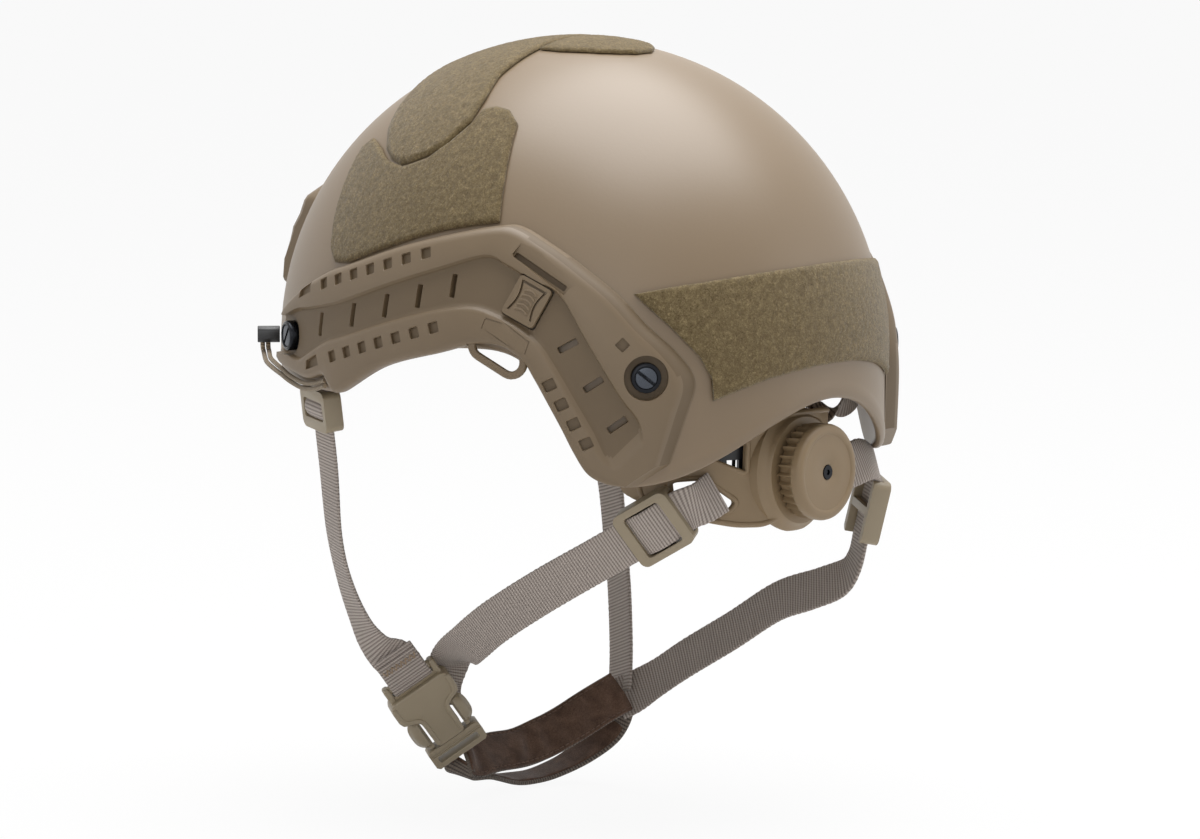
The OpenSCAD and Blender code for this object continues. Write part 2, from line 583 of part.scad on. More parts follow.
// Comfort pads: cushions with a raised middle and drawn-in edges on thin hook discs
disc_t = 0.8;
disc_h = -wall - 0.6;
pad_h = disc_h - disc_t - 0.5;
function swell(u, v) = pow(max(0, 1 - pow(abs(u), 4)), 0.5) * pow(max(0, 1 - pow(abs(v), 4)), 0.5);
function pad_low(u, v) = pad_h - 3 - (pad_t - 3) * swell(u, v);
module wall_pad(a0, a1, t0, t1, n = 9, m = 7) {
  function at(i, j, deep) = let (u = 2 * i / (n - 1) - 1, v = 2 * j / (m - 1) - 1)
    surf(lerp(a0, a1, (u * (1 - 0.06 * v * v) + 1) / 2), lerp(t0, t1, (v * (1 - 0.06 * u * u) + 1) / 2),
         deep ? pad_low(u, v) : pad_h);
  grid_solid(n, m, [for (i = [0 : n - 1], j = [0 : m - 1]) at(i, j, false)],
             [for (i = [0 : n - 1], j = [0 : m - 1]) at(i, j, true)]);
}
// The front pad has pockets over the nuts of the bracket
module pad_front() {
  color("#2b2a28")
  difference() {
    wall_pad(-30, 30, 8, 36);
    bracket_axes() cylinder(r = nut_across / 2 + 1.2, h = 2 * (wall + bracket_screw_tip + 1), center = true);
  }
}
module pad_rear() { color("#2b2a28") wall_pad(152, 208, 8, 36); }
module pad_side_left() { color("#2b2a28") wall_pad(66, 114, 16, 44); }
module pad_side_right() { mirror([1, 0, 0]) pad_side_left(); }
crown_pad_r = 40;
module pad_crown() {
  n = 9;
  function spot(i, j) = let (u = 2 * i / (n - 1) - 1, v = 2 * j / (n - 1) - 1)
    [u * sqrt(1 - v * v / 2), v * sqrt(1 - u * u / 2), max(abs(u), abs(v))];
  function layer(deep) = [for (i = [0 : n - 1], j = [0 : n - 1]) let (s = spot(i, j))
    top(s[0] * crown_pad_r, s[1] * crown_pad_r, deep ? pad_low(s[2], 0) : pad_h)];
  color("#2b2a28") grid_solid(n, n, layer(false), layer(true));
}
disc_spots = [[0, 20.5], [180, 20.5], [90, 30], [270, 30], [0, 89]];
disc_half = 5;
module hook_discs() {
  color("#3b3a36")
  for (s = disc_spots) {
    if (s[1] > 80) {
      steps = [-20, -10, 0, 10, 20];
      grid_solid(5, 5, [for (x = steps, y = steps) top(x, y, disc_h)],
                 [for (x = steps, y = steps) top(x, y, disc_h - disc_t)]);
    } else {
      steps = [-1, -0.5, 0, 0.5, 1];
      w = 8 / cos(s[1]);
      grid_solid(5, 5, [for (i = steps, j = steps) surf(s[0] + w * i, s[1] + disc_half * j, disc_h)],
                 [for (i = steps, j = steps) surf(s[0] + w * i, s[1] + disc_half * j, disc_h - disc_t)]);
    }
  }
}

// Fit system: a curved yoke, two racks sliding round it and a dial between them
yoke_cy = 57;
yoke_in = yoke_r - yoke_t;
rack_out = yoke_in - web_t - 0.5;
rack_in = rack_out - rack_t;
rack_mid = (rack_out + rack_in) / 2;
cover_out = rack_in - clear;
cover_in = cover_out - 2.2;
pitch_r = gear_module * pinion_teeth / 2;
gear_pitch = PI * gear_module;
rack_h = 5.5;
rack_base = pitch_r + 0.95 * gear_module;
cover_half = rack_base + rack_h + 0.7;
cover_lip = 3.4;
cover_angle = 28;
boss_y = yoke_cy + yoke_r + 2;
dial_y = boss_y + 0.4;
gear_y0 = yoke_cy + rack_in + 0.3;
gear_y1 = yoke_cy + rack_out - 0.1;
// Ring sector about the yoke's axis, at angles from the rear towards the left
module sector(r0, r1, a0, a1, z0, z1) {
  translate([0, yoke_cy, 0]) rotate([0, 0, 90 - a1]) rotate_extrude(angle = a1 - a0, $fn = 96)
    translate([r0, z0]) square([r1 - r0, z1 - z0]);
}
module along_y(y0, y1) { translate([0, y1, 0]) rotate([90, 0, 0]) linear_extrude(y1 - y0) children(); }
module dial_axis() { translate([0, 0, -dial_drop]) children(); }
module y_rod(r, y0, y1) { translate([0, y0, 0]) rotate([-90, 0, 0]) cylinder(r = r, h = y1 - y0); }

yoke_edge = [[0, -22], [24, -23], [40, -25.5], [49, -30], [55, -39], [57, -48], [56.5, -56], [52, -60.5],
  [42, -64.5], [32, -67], [20, -67.5], [10, -64], [0, -63]];
cut_upper = [[27, -31], [46, -36.5], [27.5, -46]];
cut_lower = [[51.5, -47.5], [43, -46.5], [31, -57.5], [34.5, -62], [51, -55]];
module yoke_outline() {
  difference() {
    polygon(concat(yoke_edge, [for (i = [len(yoke_edge) - 1 : -1 : 0]) [-yoke_edge[i][0], yoke_edge[i][1]]]));
    for (s = [0, 1]) mirror([s, 0]) { polygon(cut_upper); polygon(cut_lower); }
  }
}
cover_screw_r = 1;
module cover_screw_axes() {
  for (s = [-1, 1], t = [-1, 1])
    translate([0, yoke_cy, -dial_drop + t * (cover_half + cover_lip / 2)])
      rotate([0, 0, s * (cover_angle - 4)]) translate([0, cover_in, 0]) rotate([-90, 0, 0]) children();
}
module nape_yoke() {
  color(tan_plastic)
  difference() {
    union() {
      intersection() {
        along_y(60, 140) yoke_outline();
        translate([0, yoke_cy, -80]) difference() {
          cylinder(r = yoke_r, h = 70, $fn = 128);
          translate([0, 0, -1]) cylinder(r = yoke_in, h = 72, $fn = 128);
        }
      }
      dial_axis() difference() {
        y_rod(dial_r + 2.6, yoke_cy + 50, boss_y);
        translate([0, yoke_cy, -40]) cylinder(r = yoke_in + 0.6, h = 80, $fn = 128);
      }
    }
    dial_axis() y_rod(14, boss_y - 2.6, boss_y + 1);
    dial_axis() y_rod(shaft_r + shaft_gap, yoke_cy, boss_y + 1);
    cover_screw_axes() translate([0, 0, 3]) cylinder(r = cover_screw_r + eps, h = yoke_in - cover_in - 3 + 2);
  }
}
module gear_cover() {
  color("#2b2a28")
  difference() {
    union() {
      dial_axis() sector(cover_in, cover_out, -cover_angle, cover_angle, -cover_half, cover_half);
      for (s = [-1, 1]) {
        z = s > 0 ? cover_half - eps : -cover_half - cover_lip + eps;
        dial_axis() sector(cover_in, yoke_in - 0.2, -cover_angle, cover_angle, z, z + cover_lip);
      }
    }
    dial_axis() y_rod(2.5 + shaft_gap, yoke_cy, yoke_cy + yoke_in);
    cover_screw_axes() translate([0, 0, -1]) cylinder(r = cover_screw_r + 0.1, h = 20);
    cover_screw_axes() translate([0, 0, -1]) cylinder(r = 1.7, h = 2);
  }
}
module cover_screws() {
  color("#3a3b3d")
  cover_screw_axes() union() {
    translate([0, 0, 0.1]) cylinder(r = 1.5, h = 0.9);
    translate([0, 0, 0.5]) cylinder(r = cover_screw_r, h = yoke_in - cover_in + 1);
  }
}
// Pinion between the racks: straight-sided teeth on a shaft
module pinion_outline() {
  step = 360 / pinion_teeth;
  root = pitch_r - 1.1 * gear_module;
  tip = pitch_r + 0.9 * gear_module;
  tooth = [[root, -10], [pitch_r, -8], [tip, -4], [tip, 4], [pitch_r, 8], [root, 10]];
  polygon([for (k = [0 : pinion_teeth - 1], p = tooth) p[0] * [cos(k * step + p[1]), sin(k * step + p[1])]]);
}
module dial_pinion() {
  color("#b7b2a6")
  difference() {
    dial_axis() union() {
      along_y(gear_y0, gear_y1) pinion_outline();
      y_rod(2.5, yoke_cy + cover_in + 0.2, gear_y0 + eps);
      y_rod(shaft_r, gear_y1 - eps, dial_y + dial_d - 5);
    }
    dial_axis() y_rod(1.2, dial_y + dial_d - 12, dial_y + dial_d);
  }
}
click_lobes = 16;
module dial_knob() {
  step = 360 / dial_teeth;
  color(tan_plastic)
  difference() {
    dial_axis() union() {
      along_y(dial_y, dial_y + dial_d - 1.6)
        polygon([for (k = [0 : dial_teeth - 1], p = [[-1.6, 0.18], [0, 0.32], [0, 0.72], [-1.6, 0.86]])
          (dial_r + p[0]) * [cos((k + p[1]) * step), sin((k + p[1]) * step)]]);
      y_rod(dial_r - 1.6, dial_y + dial_d - 1.6 - eps, dial_y + dial_d - 0.8);
      y_rod(dial_r - 2.6, dial_y + dial_d - 0.8 - eps, dial_y + dial_d);
      along_y(boss_y - 2.2, dial_y + eps)
        polygon([for (k = [0 : click_lobes * 2 - 1]) let (a = 180 * k / click_lobes)
          (8 + (k % 2) * 0.5) * [cos(a), sin(a)]]);
    }
    // Hollow back, shaft seat, screw seat and a dished face
    dial_axis() difference() {
      y_rod(dial_r - 4, dial_y - 1, dial_y + dial_d - 3.6);
      y_rod(8, dial_y - 2, dial_y + dial_d);
    }
    dial_axis() y_rod(shaft_r + eps, boss_y - 10, dial_y + dial_d - 5 + 0.1);
    dial_axis() y_rod(1.3, dial_y, dial_y + dial_d + 1);
    dial_axis() y_rod(3.2, dial_y + dial_d - 1.9, dial_y + dial_d + 1);
    dial_axis() difference() {
      y_rod(dial_r - 4.4, dial_y + dial_d - 0.7, dial_y + dial_d + 1);
      y_rod(dial_r - 9.5, dial_y, dial_y + dial_d + 2);
    }
  }
}
module dial_screw() {
  color("#3a3b3d")
  dial_axis() difference() {
    union() {
      y_rod(3, dial_y + dial_d - 1.8, dial_y + dial_d - 0.4);
      y_rod(1.15, dial_y + dial_d - 11, dial_y + dial_d - 1.7);
    }
    along_y(dial_y + dial_d - 1, dial_y + dial_d) circle(1.3, $fn = 6);
  }
}
module click_spring() {
  color("#9c9c98")
  dial_axis() along_y(boss_y - 2.3, boss_y - 0.7) union() {
    intersection() {
      difference() { circle(10); circle(9.2); }
      polygon([[0, 0], [-14, 9], [-14, 20], [14, 20], [14, 9]]);
    }
    translate([-0.6, 8.75]) square([1.2, 0.9]);
    for (s = [-1, 1]) rotate(s * 50) translate([-0.9, 9.8]) square([1.8, 3.9]);
  }
}
// Rack: an arc with teeth on the side that faces the pinion
rack_reach = 56;
rack_tail = 15;
rack_pitch_deg = gear_pitch / rack_mid * 180 / PI;
module rack() {
  color("#1d1d1e") {
    sector(rack_in, rack_out, -rack_tail, rack_reach, rack_base, rack_base + rack_h);
    for (k = [-4 : 4])
      translate([0, yoke_cy, 0]) rotate([0, 0, -k * rack_pitch_deg])
        along_y(rack_in + 0.05, rack_out - 0.05)
          polygon([[-0.95, rack_base + 0.1], [-0.65, pitch_r], [-0.36, pitch_r - 0.8 * gear_module],
                   [0.36, pitch_r - 0.8 * gear_module], [0.65, pitch_r], [0.95, rack_base + 0.1]]);
  }
}
module rack_left() { dial_axis() rack(); }
module rack_right() { dial_axis() mirror([1, 0, 0]) mirror([0, 0, 1]) rack(); }

// Headband halves: strips from inside the racks, which slide along them, to the front bolts
band_t = 1.4;
band_x = shell_w / 2 - 28.4;
band_ring = rack_in - clear - band_t / 2;
function band_at(a, r = band_ring) = [r * sin(a), yoke_cy + r * cos(a)];
function band_z(s, t) = lerp(-dial_drop + s * (rack_base + rack_h / 2), -34, t);
function band_route(s) = concat(
  [for (a = [32 : 9 : 68]) [each band_at(a), band_z(s, 0)]],
  [[each band_at(76, rack_mid), band_z(s, 0.35)], [each band_at(84, rack_mid), band_z(s, 1) + 3],
   [62, 52, -17], [band_x - 22, 42, -2], [band_x - 16, 30, 11], [band_x - 9, 17, 18],
   [band_x - 3, 3, 19], [band_x + 4, -22, 15], [band_x + 4, -45, 10], [band_x + 1, -60, 8],
   [band_x - 1, -70, 7]]);
module headband(s) {
  route = band_route(s);
  faces = [for (p = route) unit([p[0], 0.8 * (p[1] > yoke_cy ? p[1] - yoke_cy : p[1]), 0])];
  color("#1d1d1e") strip(route, faces, band_w, band_t);
}
module headband_left() { headband(1); }
module headband_right() { mirror([1, 0, 0]) headband(-1); }

// Nape pad: a cushion on the inside of the gear cover
module nape_pad() {
  n = 9;
  m = 5;
  function at(i, j, deep) = let (u = 2 * i / (n - 1) - 1, v = 2 * j / (m - 1) - 1,
      r = cover_in - clear - (deep ? 1.5 + 4.5 * swell(u, v) : 0), a = u * 27 * (1 - 0.06 * v * v))
    [r * sin(a), yoke_cy + r * cos(a), -dial_drop + v * 15 * (1 - 0.06 * u * u)];
  color("#2b2a28")
  grid_solid(n, m, [for (i = [0 : n - 1], j = [0 : m - 1]) at(i, j, false)],
             [for (i = [0 : n - 1], j = [0 : m - 1]) at(i, j, true)], true);
}

// Webbing routes in the order that they run, each with the way its face looks
buckle_at = [58, -49, -143];
buckle_dir = unit([-0.594, 0.184, -0.783]);
buckle_face = [0.578, 0.775, -0.255];
function yoke_point(x, z, r) = [x, yoke_cy + sqrt(r * r - x * x), z];
behind_yoke = yoke_in - web_t / 2 - 0.35;
function anchor_point(place, h, drop) = let (p = side(place[0], place[1], 0), d = outward([p[0], p[1], 0]))
  [p[0] + h * d[0], p[1] + h * d[1], place[1] - drop];
anchor_web = anchor_h - clear - 0.1 - web_t / 2;
yoke_route = [anchor_point(rear_bolt, anchor_web, anchor_slot - 1),
  anchor_point(rear_bolt, anchor_web - 0.8, 21), [64.2, 91, -27],
  yoke_point(50.5, -31.4, behind_yoke - 0.3), yoke_point(44, -37.5, behind_yoke),
  yoke_point(37.5, -42.5, behind_yoke)];
yoke_faces = [[0.69, 0.72, 0], [0.69, 0.72, 0], [0.75, 0.65, 0], [0.89, 0.46, 0], [0.78, 0.62, 0],
  [0.66, 0.75, 0]];
module yoke_strap() { color(web_taupe) strip(yoke_route, yoke_faces, web_w - 3, web_t - 0.3); }
module yoke_strap_left() { yoke_strap(); }
module yoke_strap_right() { mirror([1, 0, 0]) yoke_strap(); }

front_face_left = [0.885, -0.465, 0];
front_face_right = [-0.885, -0.42, 0];
rear_face_left = [0.865, 0.3, -0.3];
rear_face_right = [-0.775, 0.56, -0.1];
front_dir_left = unit([-0.15, 0.017, -0.988]);
front_dir_right = unit([0.118, 0.244, -0.963]);
rear_dir_left = unit([0.168, -0.849, -0.5]);
rear_dir_right = unit([0.08, -0.22, -0.97]);
front_top_left = anchor_point(front_bolt, anchor_web, anchor_slot - 1);
front_top_right = flip_x(front_top_left);
front_slide_left = front_top_left + (front_slider_l / 2 + 8) * front_dir_left;
front_slide_right = front_top_right + (front_slider_l / 2 + 8) * front_dir_right;
rear_slide_left = [57, 84, -67];
rear_slide_right = [-78, 95, -71.8];
front_left_route = [front_top_left, front_slide_left - front_slider_l / 2 * front_dir_left,
  front_slide_left + 24 * front_dir_left, [84.2, -68.6, -80], [78.7, -66.7, -102], [73.2, -62.1, -120],
  [69.6, -57, -129.5], buckle_at - 9.6 * buckle_dir, buckle_at - 5.6 * buckle_dir];
front_left_faces = [front_face_left, front_face_left, front_face_left, [0.85, -0.53, 0], [0.86, -0.51, 0],
  [0.92, -0.4, 0], [0.96, -0.1, -0.2], [0.7, 0.68, -0.2], buckle_face];
module front_strap_left() { color(web_taupe) strip(front_left_route, front_left_faces, web_w, web_t); }
front_right_route = [front_top_right, front_slide_right - front_slider_l / 2 * front_dir_right,
  front_slide_right + 24 * front_dir_right, [-87.5, -53.5, -68], [-83, -46.5, -97], [-77, -39.5, -120],
  [-70.5, -33.5, -143], [-67.3, -31, -153]];
front_right_faces = [front_face_right, front_face_right, front_face_right, [-0.97, 0.26, 0],
  [-0.935, 0.35, 0], [-0.935, 0.35, 0], [-0.935, 0.35, 0], [-0.935, 0.35, 0]];
module front_strap_right() { color(web_taupe) strip(front_right_route, front_right_faces, web_w, web_t); }
on_yoke = yoke_r + web_t / 2 + 0.4;
rear_left_route = [yoke_point(39.5, -52.5, on_yoke), [47, 101.8, -56],
  rear_slide_left - 17 * rear_dir_left, rear_slide_left + 31 * rear_dir_left, [65.5, 30, -98.2],
  [65.5, 4, -113.7], [58.5, -17, -126.5], [48.5, -31.5, -133], [38.7, -42.8, -138.9], [37.7, -48, -148.5],
  [37.3, -48.8, -157.6]];
rear_left_faces = [[0.65, 0.76, 0.05], [0.7, 0.7, -0.15], rear_face_left, rear_face_left, [0.92, 0, -0.35],
  [0.93, -0.05, -0.35], [0.9, 0.2, -0.35], [0.75, 0.55, -0.3], buckle_face, buckle_face, buckle_face];
module rear_strap_left() { color(web_taupe) strip(rear_left_route, rear_left_faces, web_w, web_t); }
rear_right_route = [flip_x(yoke_point(40, -52.5, on_yoke)), [-53, 103, -51.2],
  [-65, 102.5, -49.2], [-73.5, 101, -51], rear_slide_right - 16 * rear_dir_right,
  rear_slide_right + 30 * rear_dir_right, [-74.5, 73.5, -106], [-73.5, 50, -116.2], [-71.5, 27, -130.7],
  [-69, 4, -144.5], [-67, -11, -154.5], [-65.6, -22.5, -162.2]];
rear_right_faces = [[-0.6, 0.79, 0.05], [-0.3, 0.93, 0.2], [-0.3, 0.85, 0.4], [-0.6, 0.72, 0.3],
  rear_face_right, rear_face_right, [-0.85, 0.35, -0.3], [-0.9, 0.15, -0.35], [-0.9, 0.15, -0.35],
  [-0.9, 0.15, -0.35], [-0.9, 0.15, -0.35], [-0.9, 0.1, -0.35]];
module rear_strap_right() { color(web_taupe) strip(rear_right_route, rear_right_faces, web_w, web_t); }

// Strap slider: two end bars over the webbing, one bar under it, joined outside its edges
module slider(l) {
  gap = web_t / 2 + clear;
  inner = web_w / 2 + 0.5;
  color(tan_plastic) {
    for (s = [-1, 1]) {
      translate([-l / 2, s > 0 ? inner : -inner - slider_bar, -gap - slider_bar])
        cube([l, slider_bar, 2 * gap + 2 * slider_bar]);
      translate([s > 0 ? l / 2 - slider_bar * 1.6 : -l / 2, -inner - eps, gap])
        cube([slider_bar * 1.6, 2 * inner + 2 * eps, slider_bar]);
    }
    translate([-slider_bar / 2, -inner - eps, -gap - slider_bar])
      cube([slider_bar, 2 * inner + 2 * eps, slider_bar]);
  }
}
module slider_front_left() {
  placed(front_slide_left, front_dir_left, front_face_left) slider(front_slider_l);
}
module slider_front_right() {
  placed(front_slide_right, front_dir_right, front_face_right) slider(front_slider_l);
}
module slider_rear_left() { placed(rear_slide_left, rear_dir_left, rear_face_left) slider(slider_l); }
module slider_rear_right() { placed(rear_slide_right, rear_dir_right, rear_face_right) slider(slider_l); }

// Side-release buckle: socket, plug and two press prongs, along its own axis
socket_start = 6;
socket_end = socket_start + buckle_l;
prong_y = 8.2;
module on_buckle() { placed(buckle_at, buckle_dir, buckle_face) children(); }
module buckle_socket() {
  core = buckle_w / 2 - 8;
  color(tan_plastic)
  on_buckle() difference() {
    union() {
      translate([socket_start - 4, 0, -buckle_t / 2]) linear_extrude(buckle_t)
        polygon([[3, -buckle_w / 2 + 3], [6, -buckle_w / 2], [buckle_l + 1, -buckle_w / 2],
                 [buckle_l + 4, -buckle_w / 2 + 4], [buckle_l + 4, buckle_w / 2 - 4],
                 [buckle_l + 1, buckle_w / 2], [6, buckle_w / 2], [3, buckle_w / 2 - 3]]);
      translate([-1.6, -buckle_w / 2 + 3, -2]) cube([8, buckle_w - 6, 4]);
    }
    translate([1.4, -web_w / 2 - 0.8, -10]) cube([3.2, web_w + 1.6, 20]);
    translate([socket_start + 6, -buckle_w / 2 + 3, -3]) cube([buckle_l, buckle_w - 6, 6]);
    for (s = [-1, 1]) translate([socket_start + 11, s > 0 ? core : -core - 20, -10]) cube([buckle_l, 20, 20]);
  }
}
module buckle_plug() {
  color(tan_plastic)
  on_buckle() difference() {
    union() {
      translate([socket_end + 0.4, -buckle_w / 2 + 2, -3.6]) cube([9.5, buckle_w - 4, 7.2]);
      translate([socket_start + 12, -6, -2.5]) cube([socket_end - socket_start - 11, 12, 5]);
    }
    translate([socket_end + 4.4, -chin_w / 2 + 0.3, -10]) cube([3, chin_w - 0.6, 20]);
  }
}
press_travel = 1.2;
module prong(s) {
  color(tan_plastic)
  on_buckle() mirror([0, s, 0]) union() {
    translate([socket_start + 11.6, prong_y, -2.5]) cube([socket_end - socket_start - 11.8, 2.2, 5]);
    translate([socket_start + 19.6, 0, -4.6]) linear_extrude(9.2) intersection() {
      translate([0, 6.2]) circle(8.4);
      translate([-10, prong_y + press_travel]) square([20, 20]);
    }
  }
}
module buckle_prong_front() { prong(1); }
module buckle_prong_rear() { prong(0); }
module buckle_web() {
  color(web_taupe)
  on_buckle() difference() {
    translate([-5.2, -web_w / 2, -3.7]) cube([9.4, web_w, 7.4]);
    translate([-2.2, -buckle_w, -2.3]) cube([5, 2 * buckle_w, 4.6]);
  }
}

// Chin cup: a lined upper band and a narrower lower band, joined at both ends
chin_start = buckle_at + (socket_end + 13.8) * buckle_dir;
upper_route = [chin_start + [0, -0.6, 0.8], chin_start + [-8, -2, -1.4], [8, -43.2, -181.2],
  [-12, -42, -180.8], [-32, -37, -175], [-48, -30.5, -166.8], [-60.3, -25.5, -160.9]];
upper_faces = [[0.3, 0.75, 0.55], [0.25, 0.78, 0.6], [0.15, 0.78, 0.6], [0.1, 0.78, 0.6], [0.15, 0.78, 0.55],
  [0.25, 0.8, 0.5], [0.3, 0.8, 0.45]];
module chin_cup_upper() {
  color("#5a463a") strip(upper_route, upper_faces, chin_w, 2, 0.7);
}
lower_route = [chin_start + [-1, -5, -8.4], [10, -48.5, -191.5], [-9, -50.5, -196], [-22, -49.5, -197],
  [-35, -46.5, -195.5], [-49, -40.5, -189.5], [-58.5, -34, -181], [-62, -30.5, -173.5]];
lower_faces = [[0.1, 0.1, 1], [0.1, 0.1, 1], [0.1, 0.12, 1], [0, 0.12, 1], [0.1, 0.12, 1], [0.35, 0.2, 0.9],
  [0.6, 0.3, 0.6], [0.85, 0.35, 0.3]];
module chin_cup_lower() {
  color("#4b4038") strip(lower_route, lower_faces, 15, 2);
}

shell();
rail_left();
rail_right();
rail_lock_left();
rail_lock_right();
rail_loop_left();
rail_loop_right();
rail_bolts();
bolt_nuts();
strap_anchors();
front_bracket();
bracket_screws();
bracket_nuts();
bungee_left();
bungee_right();
bungee_hook_left();
bungee_hook_right();
patch_side_left();
patch_side_right();
patch_front_top();
patch_crown();
patch_rear();
pad_crown();
pad_front();
pad_rear();
pad_side_left();
pad_side_right();
hook_discs();
headband_left();
headband_right();
nape_yoke();
gear_cover();
cover_screws();
dial_knob();
dial_pinion();
dial_screw();
click_spring();
rack_left();
rack_right();
nape_pad();
yoke_strap_left();
yoke_strap_right();
front_strap_left();
front_strap_right();
rear_strap_left();
rear_strap_right();
slider_front_left();
slider_front_right();
slider_rear_left();
slider_rear_right();
buckle_socket();
buckle_web();
buckle_plug();
buckle_prong_front();
buckle_prong_rear();
chin_cup_upper();
chin_cup_lower();
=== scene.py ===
"""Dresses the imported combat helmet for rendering: shell, rails, panels, fit system and harness.

Lengths in the classes are millimetres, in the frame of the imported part: +X is the wearer's left,
-Y the front and +Z up. They turn into metres only when a mesh is made.
"""

import logging
import math
from dataclasses import dataclass, field
from enum import Enum
from typing import Callable, Sequence

import bmesh
import bpy
import numpy as np
from mathutils import Matrix, Vector


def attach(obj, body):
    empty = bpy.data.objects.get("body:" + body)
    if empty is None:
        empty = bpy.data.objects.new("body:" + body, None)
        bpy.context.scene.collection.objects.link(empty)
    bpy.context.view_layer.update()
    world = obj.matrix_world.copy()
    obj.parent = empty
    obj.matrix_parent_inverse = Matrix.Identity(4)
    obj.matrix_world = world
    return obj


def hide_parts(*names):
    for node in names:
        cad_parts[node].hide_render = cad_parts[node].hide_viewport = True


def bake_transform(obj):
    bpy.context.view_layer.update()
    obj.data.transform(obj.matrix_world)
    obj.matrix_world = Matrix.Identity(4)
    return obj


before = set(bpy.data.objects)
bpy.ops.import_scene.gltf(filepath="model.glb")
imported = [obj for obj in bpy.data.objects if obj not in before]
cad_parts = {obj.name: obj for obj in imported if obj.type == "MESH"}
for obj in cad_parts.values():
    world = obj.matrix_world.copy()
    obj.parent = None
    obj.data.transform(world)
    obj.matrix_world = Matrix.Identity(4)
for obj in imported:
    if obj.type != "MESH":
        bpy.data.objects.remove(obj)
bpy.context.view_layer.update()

MM = 0.001
log = logging.getLogger("helmet")
logging.basicConfig(level=logging.INFO, format="%(name)s: %(message)s")

Array = np.ndarray
Route = Sequence[Sequence[float]]
Outline = Sequence[tuple[float, float]]
# Gives a section's corners from the distance along a path and that distance as a share
Section = Callable[[float, float], Outline]
# Gives a point from three local measures
Spot = Callable[[float, float, float], Array]
Piece = bpy.types.Object
Material = bpy.types.Material
Socket = bpy.types.NodeSocket


# Small vector helpers


def vec(*values: float) -> Array:
    """Returns the values as one float array."""
    return np.array(values, dtype=float)


def unit(v: Sequence[float]) -> Array:
    """Returns v at length one."""
    a = np.asarray(v, dtype=float)
    return a / (np.linalg.norm(a) or 1.0)


def flip(points: Route) -> list[Array]:
    """Returns the points mirrored to the other side of the helmet."""
    return [vec(-p[0], p[1], p[2]) for p in points]


def ease(t: float) -> float:
    """Returns a smooth step from 0 to 1, held at both ends."""
    t = min(1.0, max(0.0, t))
    return t * t * (3 - 2 * t)


def bump_at(x: float, centre: float, half: float) -> float:
    """Returns a smooth hump of height one around centre, gone beyond half."""
    return ease(1 - abs(x - centre) / half)


def spline(points: Route, step: float) -> Array:
    """Samples a Catmull-Rom curve through the points.

    Args:
        points: Points or rows of numbers that the curve passes through.
        step: Wanted distance between samples, in the points' own unit.

    Returns:
        The samples, one row each, evenly spaced within each span.
    """
    p = np.asarray(points, dtype=float)
    ends = np.vstack([2 * p[0] - p[1], p, 2 * p[-1] - p[-2]])
    out = []
    for i in range(1, len(ends) - 2):
        a, b, c, d = ends[i - 1 : i + 3]
        count = max(1, int(round(np.linalg.norm(c[:3] - b[:3]) / step)))
        for t in np.arange(count) / count:
            out.append(
                0.5 * (
                    2 * b + (c - a) * t + (2 * a - 5 * b + 4 * c - d) * t * t + (3 * b - a - 3 * c + d) * t**3
                )
            )
    out.append(p[-1])
    return np.array(out)


def distances(points: Array) -> Array:
    """Returns how far along a path each of its points lies."""
    return np.concatenate([[0], np.cumsum(np.linalg.norm(np.diff(points, axis=0), axis=1))])


def evenly(points: Array, step: float) -> Array:
    """Returns the same path with samples at an even distance."""
    along = distances(points[:, :3])
    count = max(2, int(round(along[-1] / step)) + 1)
    at = np.linspace(0, along[-1], count)
    return np.stack([np.interp(at, along, points[:, k]) for k in range(points.shape[1])], axis=1)


# Colours and material nodes


def linear(code: str) -> tuple[float, float, float, float]:
    """Turns an sRGB hex colour into the linear values that shaders take."""
    parts = [int(code[i : i + 2], 16) / 255 for i in (1, 3, 5)]
    r, g, b = (c / 12.92 if c <= 0.04045 else ((c + 0.055) / 1.055) ** 2.4 for c in parts)
    return r, g, b, 1.0


def add_node(
    tree: bpy.types.NodeTree, kind: str, settings: dict | None = None, links: dict | None = None
) -> bpy.types.Node:
    """Adds one node with its settings and links.

    Args:
        tree: The material's node tree.
        kind: Blender's name for the node type.
        settings: Node attributes, or input sockets by name or number, with their values.
        links: Input sockets by name or number, with the sockets that feed them.

    Returns:
        The new node.
    """
    node = tree.nodes.new(kind)
    for key, value in (settings or {}).items():
        if isinstance(key, str) and hasattr(node, key):
            setattr(node, key, value)
        else:
            node.inputs[key].default_value = value
    for key, source in (links or {}).items():
        tree.links.new(source, node.inputs[key])
    return node


def blank_material(name: str) -> tuple[Material, bpy.types.NodeTree, bpy.types.Node]:
    """Returns a new material, its tree and its output node."""
    material = bpy.data.materials.new(name)
    material.use_nodes = True
    material.node_tree.nodes.clear()
    output = add_node(material.node_tree, "ShaderNodeOutputMaterial")
    return material, material.node_tree, output


